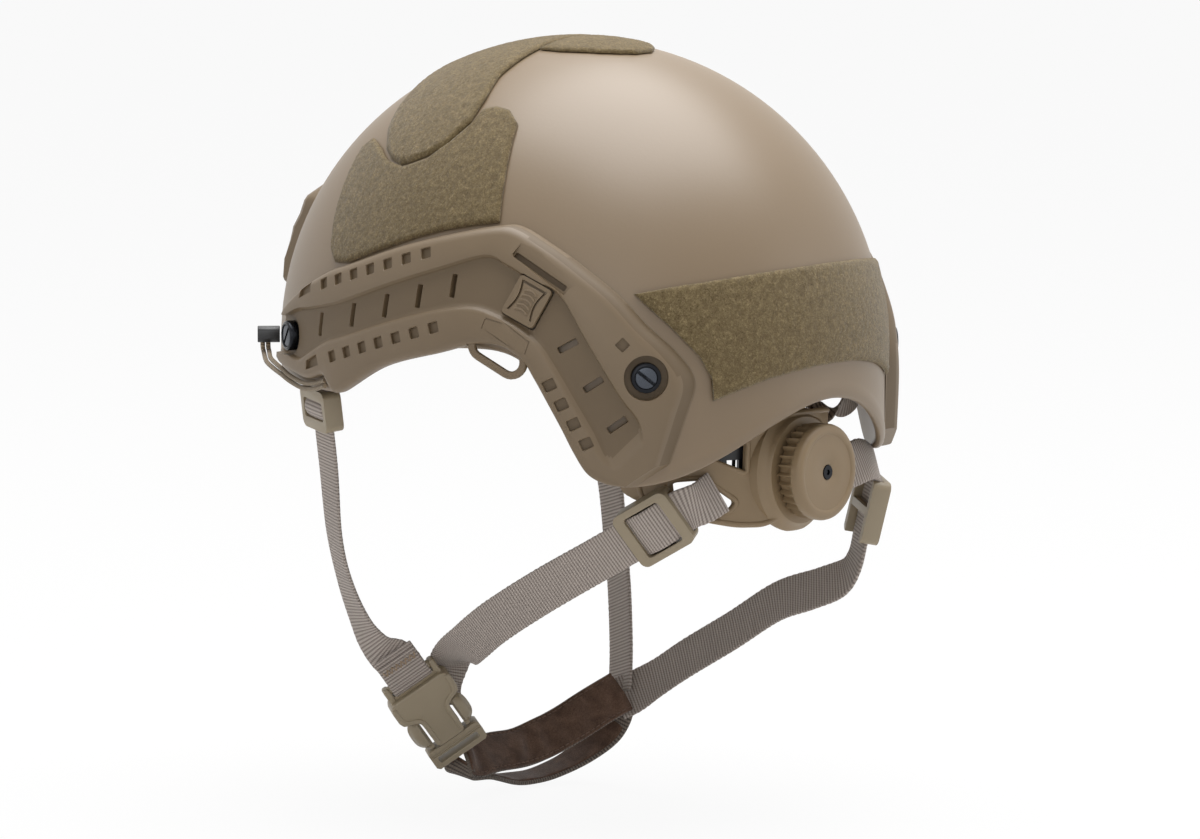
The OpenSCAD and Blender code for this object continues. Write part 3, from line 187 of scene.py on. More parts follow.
class Graph:
    """A material under way, with short calls for the nodes that the finishes share."""

    def __init__(self, name: str) -> None:
        """Starts an empty material."""
        self.material, self.tree, self.output = blank_material(name)

    def node(self, kind: str, settings: dict | None = None, links: dict | None = None) -> bpy.types.Node:
        """Adds a shader node, as add_node does."""
        return add_node(self.tree, f"ShaderNode{kind}", settings, links)

    def place(self, kind: str = "Object") -> Socket:
        """Returns the place on the object, or on its map."""
        return self.node("TexCoord").outputs[kind]

    def noise(self, place: Socket, size_mm: float, detail: float, **more: float) -> Socket:
        """Returns a noise whose grains are about size_mm apart."""
        settings = {"Scale": 1 / (size_mm * MM), "Detail": detail, **more}
        return self.node("TexNoise", settings, {"Vector": place}).outputs["Fac"]

    def span(self, value: Socket, low: float, high: float, start: float = 0.0, end: float = 1.0) -> Socket:
        """Returns the value with low and high moved to start and end."""
        settings = {"From Min": low, "From Max": high, "To Min": start, "To Max": end}
        return self.node("MapRange", settings, {"Value": value}).outputs["Result"]

    def math(self, operation: str, *values: float | Socket) -> Socket:
        """Returns a sum of numbers and sockets."""
        settings = {i: v for i, v in enumerate(values) if isinstance(v, float)}
        links = {i: v for i, v in enumerate(values) if i not in settings}
        return self.node("Math", {"operation": operation, **settings}, links).outputs[0]

    def mix(self, share: Socket, one: str | Socket, two: str | Socket, blend: str = "MIX") -> Socket:
        """Returns a blend of two colours, each a hex code or a socket."""
        colours = {"Color1": one, "Color2": two}
        settings = {key: linear(colour) for key, colour in colours.items() if isinstance(colour, str)}
        links = {key: colour for key, colour in colours.items() if key not in settings}
        return self.node(
            "MixRGB", {"blend_type": blend, **settings}, {"Fac": share, **links}
        ).outputs["Color"]

    def close(
        self, height: Socket, strength: float, depth_mm: float, settings: dict, links: dict
    ) -> Material:
        """Adds the relief and the surface.

        Args:
            height: Height of the relief.
            strength: How much of the relief shows.
            depth_mm: Full depth of the relief.
            settings: Fixed values of the surface.
            links: Values of the surface that come from other nodes.

        Returns:
            The finished material.
        """
        bump = self.node("Bump", {"Strength": strength, "Distance": depth_mm * MM}, {"Height": height})
        surface = self.node("BsdfPrincipled", settings, {"Normal": bump.outputs["Normal"], **links})
        self.tree.links.new(surface.outputs[0], self.output.inputs["Surface"])
        return self.material


@dataclass(frozen=True)
class MouldedNylon:
    """Glass-filled nylon, injection moulded: a satin skin with a fine even spark texture."""

    name: str
    colour: str
    # Spark-eroded mould texture, 0.5 mm grains, drawn a little coarse so that it shows
    grain_mm: float = 0.7
    roughness: float = 0.46
    bump: float = 0.12
    tint: float = 0.10
    # Broad clouds where the melt flowed, and their colour
    cloud_mm: float = 38.0
    cloud: str = "#b9b2a8"

    def make(self) -> Material:
        """Builds the material."""
        g = Graph(self.name)
        place = g.place()
        spread = g.span(g.noise(place, self.cloud_mm, 3.0), 0.35, 0.65, 0.0, self.tint)
        tone = g.mix(spread, self.colour, self.cloud, "MULTIPLY")
        grain = g.noise(place, self.grain_mm, 2.0)
        surface = {"Roughness": self.roughness, "IOR": 1.53}
        return g.close(grain, self.bump, 0.15, surface, {"Base Color": tone})


@dataclass(frozen=True)
class SprayedTopcoat:
    """Polyurethane topcoat sprayed over the moulded laminate: satin, with fine orange peel."""

    name: str
    colour: str
    thin: str
    # Orange peel waves are about 1.6 mm apart, and the coat's thickness drifts over 60 mm
    peel_mm: float = 1.5
    drift_mm: float = 60.0
    roughness: float = 0.42
    gloss: float = 0.72

    def make(self) -> Material:
        """Builds the material."""
        g = Graph(self.name)
        place = g.place()
        tone = g.mix(g.noise(place, self.drift_mm, 2.0), self.colour, self.thin)
        peel = g.noise(place, self.peel_mm, 3.0, Roughness=0.6)
        surface = {"Roughness": self.roughness, "IOR": 1.5, "Specular IOR Level": self.gloss}
        return g.close(peel, 0.16, 0.2, surface, {"Base Color": tone})


@dataclass(frozen=True)
class LoopPile:
    """Brushed nylon loop tape: matted fibre loops that catch light at random, pale on dark."""

    name: str
    dark: str
    middle: str
    pale: str
    # Loops are about 0.9 mm across, gathered in tufts of 3 mm
    loop_mm: float = 0.9
    tuft_mm: float = 3.2

    def make(self) -> Material:
        """Builds the material."""
        g = Graph(self.name)
        place = g.place()
        loops = g.noise(place, self.loop_mm, 4.0, Roughness=0.7, Distortion=1.2)
        tufts = g.noise(place, self.tuft_mm, 2.0, Distortion=0.8)
        height = g.math("MULTIPLY_ADD", loops, 0.66, g.math("MULTIPLY_ADD", tufts, 0.22, 0.11))
        base = g.mix(g.span(height, 0.40, 0.55), self.dark, self.middle)
        tone = g.mix(g.span(height, 0.55, 0.72), base, self.pale)
        surface = {"Roughness": 0.92, "Sheen Weight": 0.25, "Sheen Roughness": 0.5, "Specular IOR Level": 0.2}
        return g.close(height, 0.8, 0.7, surface, {"Base Color": tone})


@dataclass(frozen=True)
class WovenWebbing:
    """Flat woven nylon webbing: ribs across the strap over a fine herringbone of yarns."""

    name: str
    dark: str
    pale: str
    # Weft ribs are 1.45 mm apart, yarns 0.55 mm and stray fibres 0.8 mm
    rib_mm: float = 1.45
    yarn_mm: float = 0.55
    fluff_mm: float = 0.8

    def make(self) -> Material:
        """Builds the material on the strap's own map, whose unit is a metre along and across."""
        g = Graph(self.name)
        split = g.node("SeparateXYZ", {}, {"Vector": g.place("UV")})
        turn = g.math("MULTIPLY", split.outputs["X"], 2 * math.pi / (self.rib_mm * MM))
        rib = g.span(g.math("SINE", turn), -1.0, 0.6)
        across = g.math("MULTIPLY", split.outputs["Y"], math.pi / (self.yarn_mm * MM))
        yarn = g.span(g.math("SINE", g.math("MULTIPLY_ADD", turn, 0.5, across)), -1.0, 1.0)
        weave = g.math("MULTIPLY_ADD", yarn, 0.35, rib)
        height = g.math("MULTIPLY_ADD", g.noise(g.place(), self.fluff_mm, 3.0), 0.35, weave)
        tone = g.mix(g.span(height, 0.35, 1.45), self.dark, self.pale)
        surface = {"Roughness": 0.78, "Sheen Weight": 0.2, "Sheen Roughness": 0.4, "Specular IOR Level": 0.35}
        return g.close(height, 0.55, 0.25, surface, {"Base Color": tone})


@dataclass(frozen=True)
class NappedCloth:
    """Suede or knitted cover cloth: soft nap with cloudy lighter and darker strokes."""

    name: str
    dark: str
    pale: str
    nap_mm: float = 0.6
    cloud_mm: float = 7.0
    sheen: float = 0.3
    roughness: float = 0.9

    def make(self) -> Material:
        """Builds the material."""
        g = Graph(self.name)
        place = g.place()
        nap = g.noise(place, self.nap_mm, 4.0, Roughness=0.65)
        cloud = g.noise(place, self.cloud_mm, 3.0, Distortion=0.6)
        tone = g.mix(g.span(g.math("MULTIPLY", nap, cloud), 0.14, 0.38), self.dark, self.pale)
        surface = {"Roughness": self.roughness, "Sheen Weight": self.sheen, "Sheen Roughness": 0.5}
        surface["Specular IOR Level"] = 0.2
        return g.close(nap, 0.5, 0.3, surface, {"Base Color": tone})


@dataclass(frozen=True)
class BraidedSheath:
    """Elastic cord in a braided sheath: crossing yarns in two slanted directions."""

    name: str
    dark: str
    pale: str
    yarn_mm: float = 1.2

    def make(self) -> Material:
        """Builds the material on the cord's own map."""
        g = Graph(self.name)
        split = g.node("SeparateXYZ", {}, {"Vector": g.place("UV")})
        along = g.math("MULTIPLY", split.outputs["X"], 2 * math.pi / (self.yarn_mm * MM))
        around = g.math("MULTIPLY", split.outputs["Y"], 8 * math.pi)
        strands = [g.math("SINE", g.math(way, along, around)) for way in ("ADD", "SUBTRACT")]
        cross = g.math("MAXIMUM", *strands)
        tone = g.mix(g.span(cross, -0.3, 1.0), self.dark, self.pale)
        return g.close(cross, 0.6, 0.3, {"Roughness": 0.75, "Sheen Weight": 0.2}, {"Base Color": tone})


@dataclass(frozen=True)
class FinishedSteel:
    """Machined steel, oxide blacked or plated: glossy with faint turning marks and oil bloom."""

    name: str
    colour: str
    roughness: float = 0.25
    metallic: float = 0.85
    marks_mm: float = 1.1

    def make(self) -> Material:
        """Builds the material."""
        g = Graph(self.name)
        marks = g.noise(g.place(), self.marks_mm, 3.0)
        gloss = g.span(marks, 0.3, 0.7, self.roughness * 0.75, self.roughness * 1.35)
        surface = {"Base Color": linear(self.colour), "Metallic": self.metallic}
        return g.close(marks, 0.06, 0.1, surface, {"Roughness": gloss})


class Finish(Enum):
    """Every finish on the helmet."""

    SHELL = SprayedTopcoat("tan polyurethane topcoat", "#7b684f", "#7f6b52")
    RAIL = MouldedNylon("tan moulded nylon, rails", "#75634b")
    # Darker copy of the rail nylon for the sunken faces of the rails: its darker colour is painted shade
    RAIL_PAINTED_SHADE = MouldedNylon("tan moulded nylon, painted recess shade", "#67563f", roughness=0.6, bump=0.2)
    YOKE = MouldedNylon("tan moulded nylon, fit system", "#897457", roughness=0.5)
    BUCKLE = MouldedNylon("khaki moulded acetal", "#988a72", roughness=0.42, bump=0.06)
    BLACK = MouldedNylon("black moulded nylon", "#1d1d1f", roughness=0.35)
    GEAR = MouldedNylon("natural moulded acetal", "#b7b2a6", roughness=0.4)
    LOOP = LoopPile("olive loop tape", "#4a3d24", "#6f5f41", "#a08d66", loop_mm=0.75, tuft_mm=2.4)
    HOOK = LoopPile("charcoal hook tape", "#26251f", "#3a3933", "#55534a")
    WEB = WovenWebbing("taupe nylon webbing", "#81766f", "#bbb0a7")
    WEB_DARK = WovenWebbing("taupe nylon webbing, far side", "#82776f", "#b9aea5")
    CHIN_WEB = WovenWebbing("grey nylon webbing, chin cup", "#4c443e", "#85796e")
    SUEDE = NappedCloth("brown suede", "#4b372b", "#705747")
    PAD = NappedCloth("charcoal knitted cover", "#1c1b1a", "#35332f", nap_mm=0.9, cloud_mm=14, sheen=0.15)
    CORD = BraidedSheath("tan braided elastic", "#6f604c", "#a8967c")
    BOLT = FinishedSteel("black oxide steel", "#15171c", roughness=0.2, metallic=0.7)
    FACE = FinishedSteel("blued steel face", "#4a4e55", roughness=0.28, metallic=0.9)
    STEEL = FinishedSteel("zinc plated steel", "#8d8f92", roughness=0.3, metallic=1.0)
    GUNMETAL = FinishedSteel("phosphated steel", "#3b3c3e", roughness=0.45, metallic=0.8)
    BAND = MouldedNylon("glossy black nylon, headband", "#141416", roughness=0.18, bump=0.02)
    THREAD = MouldedNylon("tan bonded nylon thread", "#a08a72", roughness=0.6, bump=0.0)
    THREAD_DARK = MouldedNylon("brown bonded nylon thread", "#6d5647", roughness=0.7, bump=0.0)


_made: dict[Finish, Material] = {}


def finish_of(kind: Finish) -> Material:
    """Returns the finish's material, made once."""
    if kind not in _made:
        _made[kind] = kind.value.make()
    return _made[kind]


# Meshes


def mesh_piece(
    name: str, points: Array, faces: Sequence[Sequence[int]], finish: Finish, uvs: Array | None = None
) -> Piece:
    """Makes a mesh object from points in millimetres.

    Args:
        name: The piece's name.
        points: One row for each point.
        faces: Point numbers of each face.
        finish: What it is made of.
        uvs: Map place of each point, in metres, or None.

    Returns:
        The new object, smooth shaded, linked to the scene.
    """
    mesh = bpy.data.meshes.new(name)
    mesh.from_pydata((np.asarray(points) * MM).tolist(), [], [list(f) for f in faces])
    if uvs is not None:
        layer = mesh.uv_layers.new(name="map")
        flat = np.asarray(uvs)[[loop.vertex_index for loop in mesh.loops]]
        layer.data.foreach_set("uv", flat.ravel())
    mesh.validate()
    piece = bpy.data.objects.new(name, mesh)
    bpy.context.scene.collection.objects.link(piece)
    mesh.materials.append(finish_of(finish))
    smooth(piece)
    return piece


def smooth(piece: Piece, angle: float = 38.0) -> None:
    """Shades the piece smooth, except over edges sharper than the angle."""
    mesh = piece.data
    mesh.shade_smooth()
    mesh.set_sharp_from_angle(angle=math.radians(angle))


def outward_faces(piece: Piece) -> None:
    """Turns all faces of a closed piece to look outwards."""
    work = bmesh.new()
    work.from_mesh(piece.data)
    bmesh.ops.recalc_face_normals(work, faces=work.faces)
    work.to_mesh(piece.data)
    work.free()


def bands(rows: int, n: int) -> list[tuple[int, ...]]:
    """Returns the faces between rings of n points each."""
    spots = [(i * n, (i + 1) * n, k, (k + 1) % n) for i in range(rows - 1) for k in range(n)]
    return [(a + k, a + m, b + m, b + k) for a, b, k, m in spots]


def closed_grid(name: str, upper: Array, lower: Array, finish: Finish, uvs: Array | None = None) -> Piece:
    """Closes two matching grids of points into one piece.

    Args:
        name: The piece's name.
        upper: Points of the outer side, rows by columns by three.
        lower: Points of the inner side.
        finish: What it is made of.
        uvs: Map places of the grid, rows by columns by two, or None.

    Returns:
        The new object.
    """
    n, m = upper.shape[:2]
    k = n * m
    faces = []
    for i in range(n - 1):
        for j in range(m - 1):
            a, b, c, d = i * m + j, i * m + j + 1, (i + 1) * m + j + 1, (i + 1) * m + j
            faces += [(a, b, c, d), (k + a, k + d, k + c, k + b)]
    for i in range(n - 1):
        a, d = i * m, (i + 1) * m
        faces += [(a, d, k + d, k + a), (d + m - 1, a + m - 1, k + a + m - 1, k + d + m - 1)]
    for j in range(m - 1):
        c = (n - 1) * m + j
        faces += [(j + 1, j, k + j, k + j + 1), (c, c + 1, k + c + 1, k + c)]
    points = np.concatenate([upper.reshape(-1, 3), lower.reshape(-1, 3)])
    flat = None if uvs is None else np.concatenate([uvs.reshape(-1, 2)] * 2)
    piece = mesh_piece(name, points, faces, finish, flat)
    outward_faces(piece)
    smooth(piece)
    return piece


def swept(
    name: str, centre: Array, across: Array, facing: Array, section: Section, finish: Finish,
    closed: bool = False,
) -> Piece:
    """Sweeps a closed section along a path.

    Args:
        name: The piece's name.
        centre: Path points.
        across: Width direction at each point.
        facing: Thickness direction at each point.
        section: Gives the section's corners, as across and facing distances, from the distance
            along the path and that distance as a share.
        finish: What it is made of.
        closed: Whether the path returns to its start.

    Returns:
        The new object, mapped in metres along the path and round the section.
    """
    n = len(centre)
    along = distances(centre)
    rings, uvs = [], []
    for i in range(n):
        corners = section(along[i], i / (n - 1))
        rings.append([centre[i] + across[i] * a + facing[i] * f for a, f in corners])
        uvs.append([(along[i] * MM, a * MM) for a, f in corners])
    m = len(rings[0])
    faces = []
    for i in range(n - 1 + int(closed)):
        for j in range(m):
            a, b = i * m + j, i * m + (j + 1) % m
            k = ((i + 1) % n) * m
            faces.append((a, b, k + (j + 1) % m, k + j))
    if not closed:
        faces.append(tuple(range(m - 1, -1, -1)))
        faces.append(tuple((n - 1) * m + j for j in range(m)))
    piece = mesh_piece(name, np.array(rings).reshape(-1, 3), faces, finish, np.array(uvs).reshape(-1, 2))
    outward_faces(piece)
    smooth(piece)
    return piece


def frames_along(centre: Array, looks: Array) -> tuple[Array, Array]:
    """Returns the width and thickness directions of a strip along a path.

    Args:
        centre: Path points.
        looks: The way that the strip's face looks, at each point or all along.
    """
    run = np.gradient(centre, axis=0)
    run /= np.linalg.norm(run, axis=1)[:, None]
    across = np.cross(run, looks)
    across /= np.linalg.norm(across, axis=1)[:, None]
    return across, np.cross(across, run)


def join(name: str, pieces: Sequence[Piece]) -> Piece:
    """Joins pieces into the first of them under one name."""
    bpy.ops.object.select_all(action="DESELECT")
    for piece in pieces:
        piece.select_set(True)
    bpy.context.view_layer.objects.active = pieces[0]
    if len(pieces) > 1:
        bpy.ops.object.join()
    pieces[0].name = name
    return pieces[0]


def apply_modifiers(piece: Piece) -> None:
    """Writes the modifiers' result into the mesh."""
    view = bpy.context.evaluated_depsgraph_get()
    view.update()
    mesh = bpy.data.meshes.new_from_object(
        piece.evaluated_get(view), preserve_all_data_layers=True, depsgraph=view
    )
    piece.modifiers.clear()
    piece.data = mesh


def carve(piece: Piece, cutters: Sequence[Piece]) -> None:
    """Cuts the cutters out of a piece and deletes them."""
    tool = join("cutter", cutters)
    change = piece.modifiers.new("cut", "BOOLEAN")
    change.operation = "DIFFERENCE"
    change.solver = "EXACT"
    change.use_self = True
    change.object = tool
    apply_modifiers(piece)
    bpy.data.objects.remove(tool)


def round_edges(piece: Piece, width: float, segments: int = 2, angle: float = 35.0) -> None:
    """Rounds all edges sharper than the angle.

    Args:
        piece: The piece to change.
        width: Size of the rounding in millimetres.
        segments: Facets across it.
        angle: Least angle of an edge, in degrees.
    """
    change = piece.modifiers.new("round", "BEVEL")
    change.width = width * MM
    change.segments = segments
    change.limit_method = "ANGLE"
    change.angle_limit = math.radians(angle)
    change.harden_normals = False
    apply_modifiers(piece)
    smooth(piece)


@dataclass(frozen=True)
class Seat:
    """A place with its own axes: x along, y sideways and z outwards."""

    place: Array
    x: Array
    z: Array

    def axes(self) -> tuple[Array, Array, Array]:
        """Returns the three directions, square to each other."""
        x = unit(self.x)
        z = unit(self.z - (self.z @ x) * x)
        return x, np.cross(z, x), z

    def at(self, points: Route) -> Array:
        """Returns local points in the helmet's frame."""
        x, y, z = self.axes()
        return np.array([self.place + p[0] * x + p[1] * y + p[2] * z for p in points])


# Outlines given as x and -z, stood up towards the rear
REAR_VIEW = Seat(vec(0, 0, 0), vec(1, 0, 0), vec(0, 1, 0))


def prism(
    name: str, seat: Seat, outline: Outline, low: float, high: float, finish: Finish,
    flare: tuple[float, float] | None = None,
) -> Piece:
    """Stands an outline up into a solid.

    Args:
        name: The piece's name.
        seat: Where the outline lies.
        outline: Corners in order, in the seat's x and y.
        low: Lowest z.
        high: Highest z.
        finish: What it is made of.
        flare: Depth and spread of a chamfer at the top, or None.

    Returns:
        The new object.
    """
    corners = np.array(outline, dtype=float)
    centre = (corners.max(axis=0) + corners.min(axis=0)) / 2
    levels = [(low, 0.0), (high, 0.0)]
    if flare:
        levels = [(low, 0.0), (high - flare[0], 0.0), (high, flare[1]), (high + 6, flare[1])]
    rings = []
    for z, spread in levels:
        away = corners - centre
        length = np.linalg.norm(away, axis=1)[:, None]
        grown = corners + away / length * spread
        rings.append(seat.at([(x, y, z) for x, y in grown]))
    m = len(corners)
    faces = [tuple(range(m - 1, -1, -1)), tuple((len(rings) - 1) * m + j for j in range(m))]
    piece = mesh_piece(name, np.concatenate(rings), faces + bands(len(rings), m), finish)
    outward_faces(piece)
    return piece


def box_outline(
    length: float, width: float, corner: float = 0.0, x: float = 0.0, y: float = 0.0, steps: int = 4
) -> Outline:
    """Returns a rectangle's corners, rounded if corner is over zero."""
    a, b = length / 2, width / 2
    if corner <= 0:
        return [(x - a, y - b), (x + a, y - b), (x + a, y + b), (x - a, y + b)]
    out = []
    for cx, cy, start in (
        (a - corner, b - corner, 0), (corner - a, b - corner, 90), (corner - a, corner - b, 180),
        (a - corner, corner - b, 270),
    ):
        for k in range(steps + 1):
            t = math.radians(start + 90 * k / steps)
            out.append((x + cx + corner * math.cos(t), y + cy + corner * math.sin(t)))
    return out


def stadium(span: float, r: float) -> Outline:
    """Returns a long oval: two half circles of radius r, span apart."""
    out = []
    for side, start in ((1, -90), (-1, 90)):
        turns = [math.radians(start + 15 * k) for k in range(13)]
        out += [(side * span / 2 + r * math.cos(t), r * math.sin(t)) for t in turns]
    return out


def disc_outline(r: float, n: int = 48) -> Outline:
    """Returns the points of a circle."""
    return [(r * math.cos(2 * math.pi * k / n), r * math.sin(2 * math.pi * k / n)) for k in range(n)]


def oval(rx: float, ry: float, n: int) -> Outline:
    """Returns n points of an oval."""
    return [(rx * math.cos(q), ry * math.sin(q)) for q in np.linspace(0, 2 * math.pi, n + 1)[:-1]]


def steady(corners: Outline) -> Section:
    """Returns a section for sweeping that stays the same all along."""
    return lambda distance, share: corners


def turned(name: str, seat: Seat, profile: Outline, finish: Finish, n: int = 48) -> Piece:
    """Turns a profile of radius and height round the seat's z axis."""
    points = [(x, y, z) for r, z in profile for x, y in disc_outline(r, n)]
    faces = bands(len(profile), n) + [tuple(range(n - 1, -1, -1))]
    faces.append(tuple((len(profile) - 1) * n + k for k in range(n)))
    piece = mesh_piece(name, seat.at(points), faces, finish)
    outward_faces(piece)
    smooth(piece)
    return piece


def place_piece(piece: Piece, body: str, slot: str, *nodes: str) -> Piece:
    """Rides a piece on its body and hides the nodes that it stands for."""
    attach(piece, body)
    if nodes:
        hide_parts(*nodes)
    log.info("%s rides on %s, %d faces", piece.name, body, len(piece.data.polygons))
    return piece


# The shell's own shape, which the rails, panels, pads and nuts follow


@dataclass(frozen=True)
class ShellShape:
    """The outside of the shell as formulas: an ellipsoid above its widest level, upright below it."""

    length: float = 270.0
    width: float = 240.0
    crown: float = 130.0
    wall: float = 4.0
    # Rim stations: azimuth from the front, height, and skew of the curve that follows
    rim: tuple[tuple[float, float, float], ...] = (
        (0, -8, 1), (70, -14.6, 0.65), (104, 10, 1.5), (133, -47, 1), (180, -14.5, 1)
    )

    def surf(self, azimuth: float, latitude: float, height: float) -> Array:
        """Returns a point by azimuth, latitude and height above the outer face."""
        a, t = math.radians(azimuth), math.radians(latitude)
        w, l = self.width / 2 + height, self.length / 2 + height
        if latitude >= 0:
            return vec(
                w * math.sin(a) * math.cos(t), -l * math.cos(a) * math.cos(t),
                (self.crown + height) * math.sin(t),
            )
        return vec(w * math.sin(a), -l * math.cos(a), self.crown * t)

    def side(self, y: float, z: float, height: float) -> Array:
        """Returns the point seen at y and z from the wearer's left."""
        w, l, c = self.width / 2 + height, self.length / 2 + height, self.crown + height
        return vec(w * math.sqrt(max(0.01, 1 - (y / l) ** 2 - (max(z, 0) / c) ** 2)), y, z)

    def front(self, x: float, z: float, height: float) -> Array:
        """Returns the point seen at x and z from the front."""
        w, l, c = self.width / 2 + height, self.length / 2 + height, self.crown + height
        return vec(x, -l * math.sqrt(max(0.01, 1 - (x / w) ** 2 - (max(z, 0) / c) ** 2)), z)

    def top(self, x: float, y: float, height: float) -> Array:
        """Returns the point seen at x and y from above."""
        w, l, c = self.width / 2 + height, self.length / 2 + height, self.crown + height
        return vec(x, y, c * math.sqrt(max(0.01, 1 - (x / w) ** 2 - (y / l) ** 2)))

    def outward(self, p: Array) -> Array:
        """Returns the direction away from the shell at a point on it."""
        return unit(
            [p[0] / (self.width / 2) ** 2, p[1] / (self.length / 2) ** 2, max(p[2], 0) / self.crown**2]
        )

    def rim_z(self, azimuth: float) -> float:
        """Returns the height of the rim."""
        a = 360 - azimuth if azimuth > 180 else azimuth
        for (a0, z0, skew), (a1, z1, _) in zip(self.rim, self.rim[1:]):
            if a <= a1:
                t = ((a - a0) / (a1 - a0)) ** skew
                return z0 + (z1 - z0) * (1 - math.cos(math.pi * t)) / 2
        return self.rim[-1][1]

    def latitude(self, z: float) -> float:
        """Returns the latitude of a height on the outer face."""
        return math.degrees(math.asin(min(1.0, z / self.crown))) if z >= 0 else math.degrees(z / self.crown)

    def seat(self, y: float, z: float, turn: float, height: float = 0.0) -> Seat:
        """Returns a seat on the left side, with its x turned in the side view."""
        p = self.side(y, z, 0)
        n = self.outward(p)
        t = math.radians(turn)
        d = vec(0, math.cos(t), math.sin(t))
        return Seat(p + n * height, d - n * (n @ d), n)


SHELL = ShellShape()


@dataclass
class Shell:
    """The moulded shell with a rolled, slightly raised rim."""

    shape: ShellShape = SHELL
    columns: int = 288
    rows: int = 44
    bead: float = 0.35
    bead_width: float = 7.0
    # Heights above the lip's spring line of the rings that carry the bead
    bead_rings: tuple = (0.8, 1.8, 3.0, 4.2, 5.4, 6.6)
    lip_steps: int = 8

    def build(self) -> Piece:
        """Builds the shell."""
        s = self.shape
        half = s.wall / 2
        rings = []
        inner = [k / self.rows for k in range(self.rows, -1, -1)]
        for share in inner[:-1]:
            rings.append([s.surf(a, self.row(a, share), -s.wall) for a in self.azimuths()])
        for step in range(self.lip_steps + 1):
            phi = math.pi * (1 - step / self.lip_steps)
            rings.append(
                [self.lip(a, half * math.cos(phi) - half, half * math.sin(phi)) for a in self.azimuths()]
            )
        for up in self.bead_rings:
            rings.append([self.lip(a, self.bead * bump_at(up, 2.6, 4.2), -up) for a in self.azimuths()])
        for share in inner[::-1][1:]:
            rings.append([s.surf(a, self.row(a, share), 0) for a in self.azimuths()])
        n = self.columns
        points = [vec(0, 0, s.crown - s.wall)] + [p for ring in rings for p in ring] + [vec(0, 0, s.crown)]
        faces = []
        for i in range(len(rings) - 1):
            for k in range(n):
                a, b = 1 + i * n + k, 1 + i * n + (k + 1) % n
                faces.append((a, b, b + n, a + n))
        last = 1 + (len(rings) - 1) * n
        faces += [(0, 1 + (k + 1) % n, 1 + k) for k in range(n)]
        faces += [(len(points) - 1, last + k, last + (k + 1) % n) for k in range(n)]
        piece = mesh_piece("shell_moulding", np.array(points), faces, Finish.SHELL)
        outward_faces(piece)
        smooth(piece, 60)
        return place_piece(piece, "helmet", "shell_composite", "shell")

    def azimuths(self) -> list[float]:
        """Returns the columns' azimuths."""
        return [360 * k / self.columns for k in range(self.columns)]

    def row(self, azimuth: float, share: float) -> float:
        """Returns the latitude of a row, from above the rim to just short of the crown."""
        low = self.shape.latitude(self.shape.rim_z(azimuth) + self.bead_width + 1.5)
        return low + (89.2 - low) * share

    def lip(self, azimuth: float, height: float, drop: float) -> Array:
        """Returns a point of the rolled rim, by height off the wall and drop below its spring line."""
        z = self.shape.rim_z(azimuth) + self.shape.wall / 2 - drop
        return self.shape.surf(azimuth, self.shape.latitude(z), height)


@dataclass
class LoopPanel:
    """One panel of loop tape, pressed onto the shell, with a soft cut edge."""

    name: str
    rows: Array
    point: Spot
    gap: float = 0.45
    thick: float = 1.6
    step: float = 1.1
    fuzz: float = 0.28

    def build(self, nodes: Sequence[str], mirrored: bool = False) -> Piece:
        """Builds the panel from its two edges.

        Args:
            nodes: CAD nodes that it stands for.
            mirrored: Whether it is put on the other side.
        """
        rng = np.random.default_rng(len(self.name) * 7 + int(mirrored))
        edges = self.refined()
        n = len(edges)
        reach = max(np.linalg.norm(self.point(*e[:2], 0) - self.point(*e[2:], 0)) for e in edges)
        m = max(8, int(reach / self.step))
        upper, lower = np.zeros((n, m, 3)), np.zeros((n, m, 3))
        for i, e in enumerate(edges):
            for j in range(m):
                t = j / (m - 1)
                a, b = e[0] + (e[2] - e[0]) * t, e[1] + (e[3] - e[1]) * t
                near = min(i, n - 1 - i, j, m - 1 - j)
                rise = self.thick * (0.45 + 0.55 * ease(near / 1.6)) + self.fuzz * (rng.random() - 0.6)
                upper[i, j] = self.point(a, b, self.gap + rise)
                lower[i, j] = self.point(a, b, self.gap)
                if near == 0:
                    upper[i, j] += self.fuzz * 0.8 * (rng.random(3) - 0.5)
        if mirrored:
            upper[..., 0] *= -1
            lower[..., 0] *= -1
        piece = closed_grid(self.name, upper, lower, Finish.LOOP)
        smooth(piece, 80)
        return place_piece(piece, "helmet", "loop_fabric", *nodes)

    def refined(self) -> Array:
        """Returns the edge pairs at close, even steps."""
        out = []
        for a, b in zip(self.rows, self.rows[1:]):
            far = max(
                np.linalg.norm(self.point(*a[:2], 0) - self.point(*b[:2], 0)),
                np.linalg.norm(self.point(*a[2:], 0) - self.point(*b[2:], 0)),
            )
            count = max(1, int(round(far / self.step)))
            out += [a + (b - a) * k / count for k in range(count)]
        out.append(self.rows[-1])
        return np.array(out)


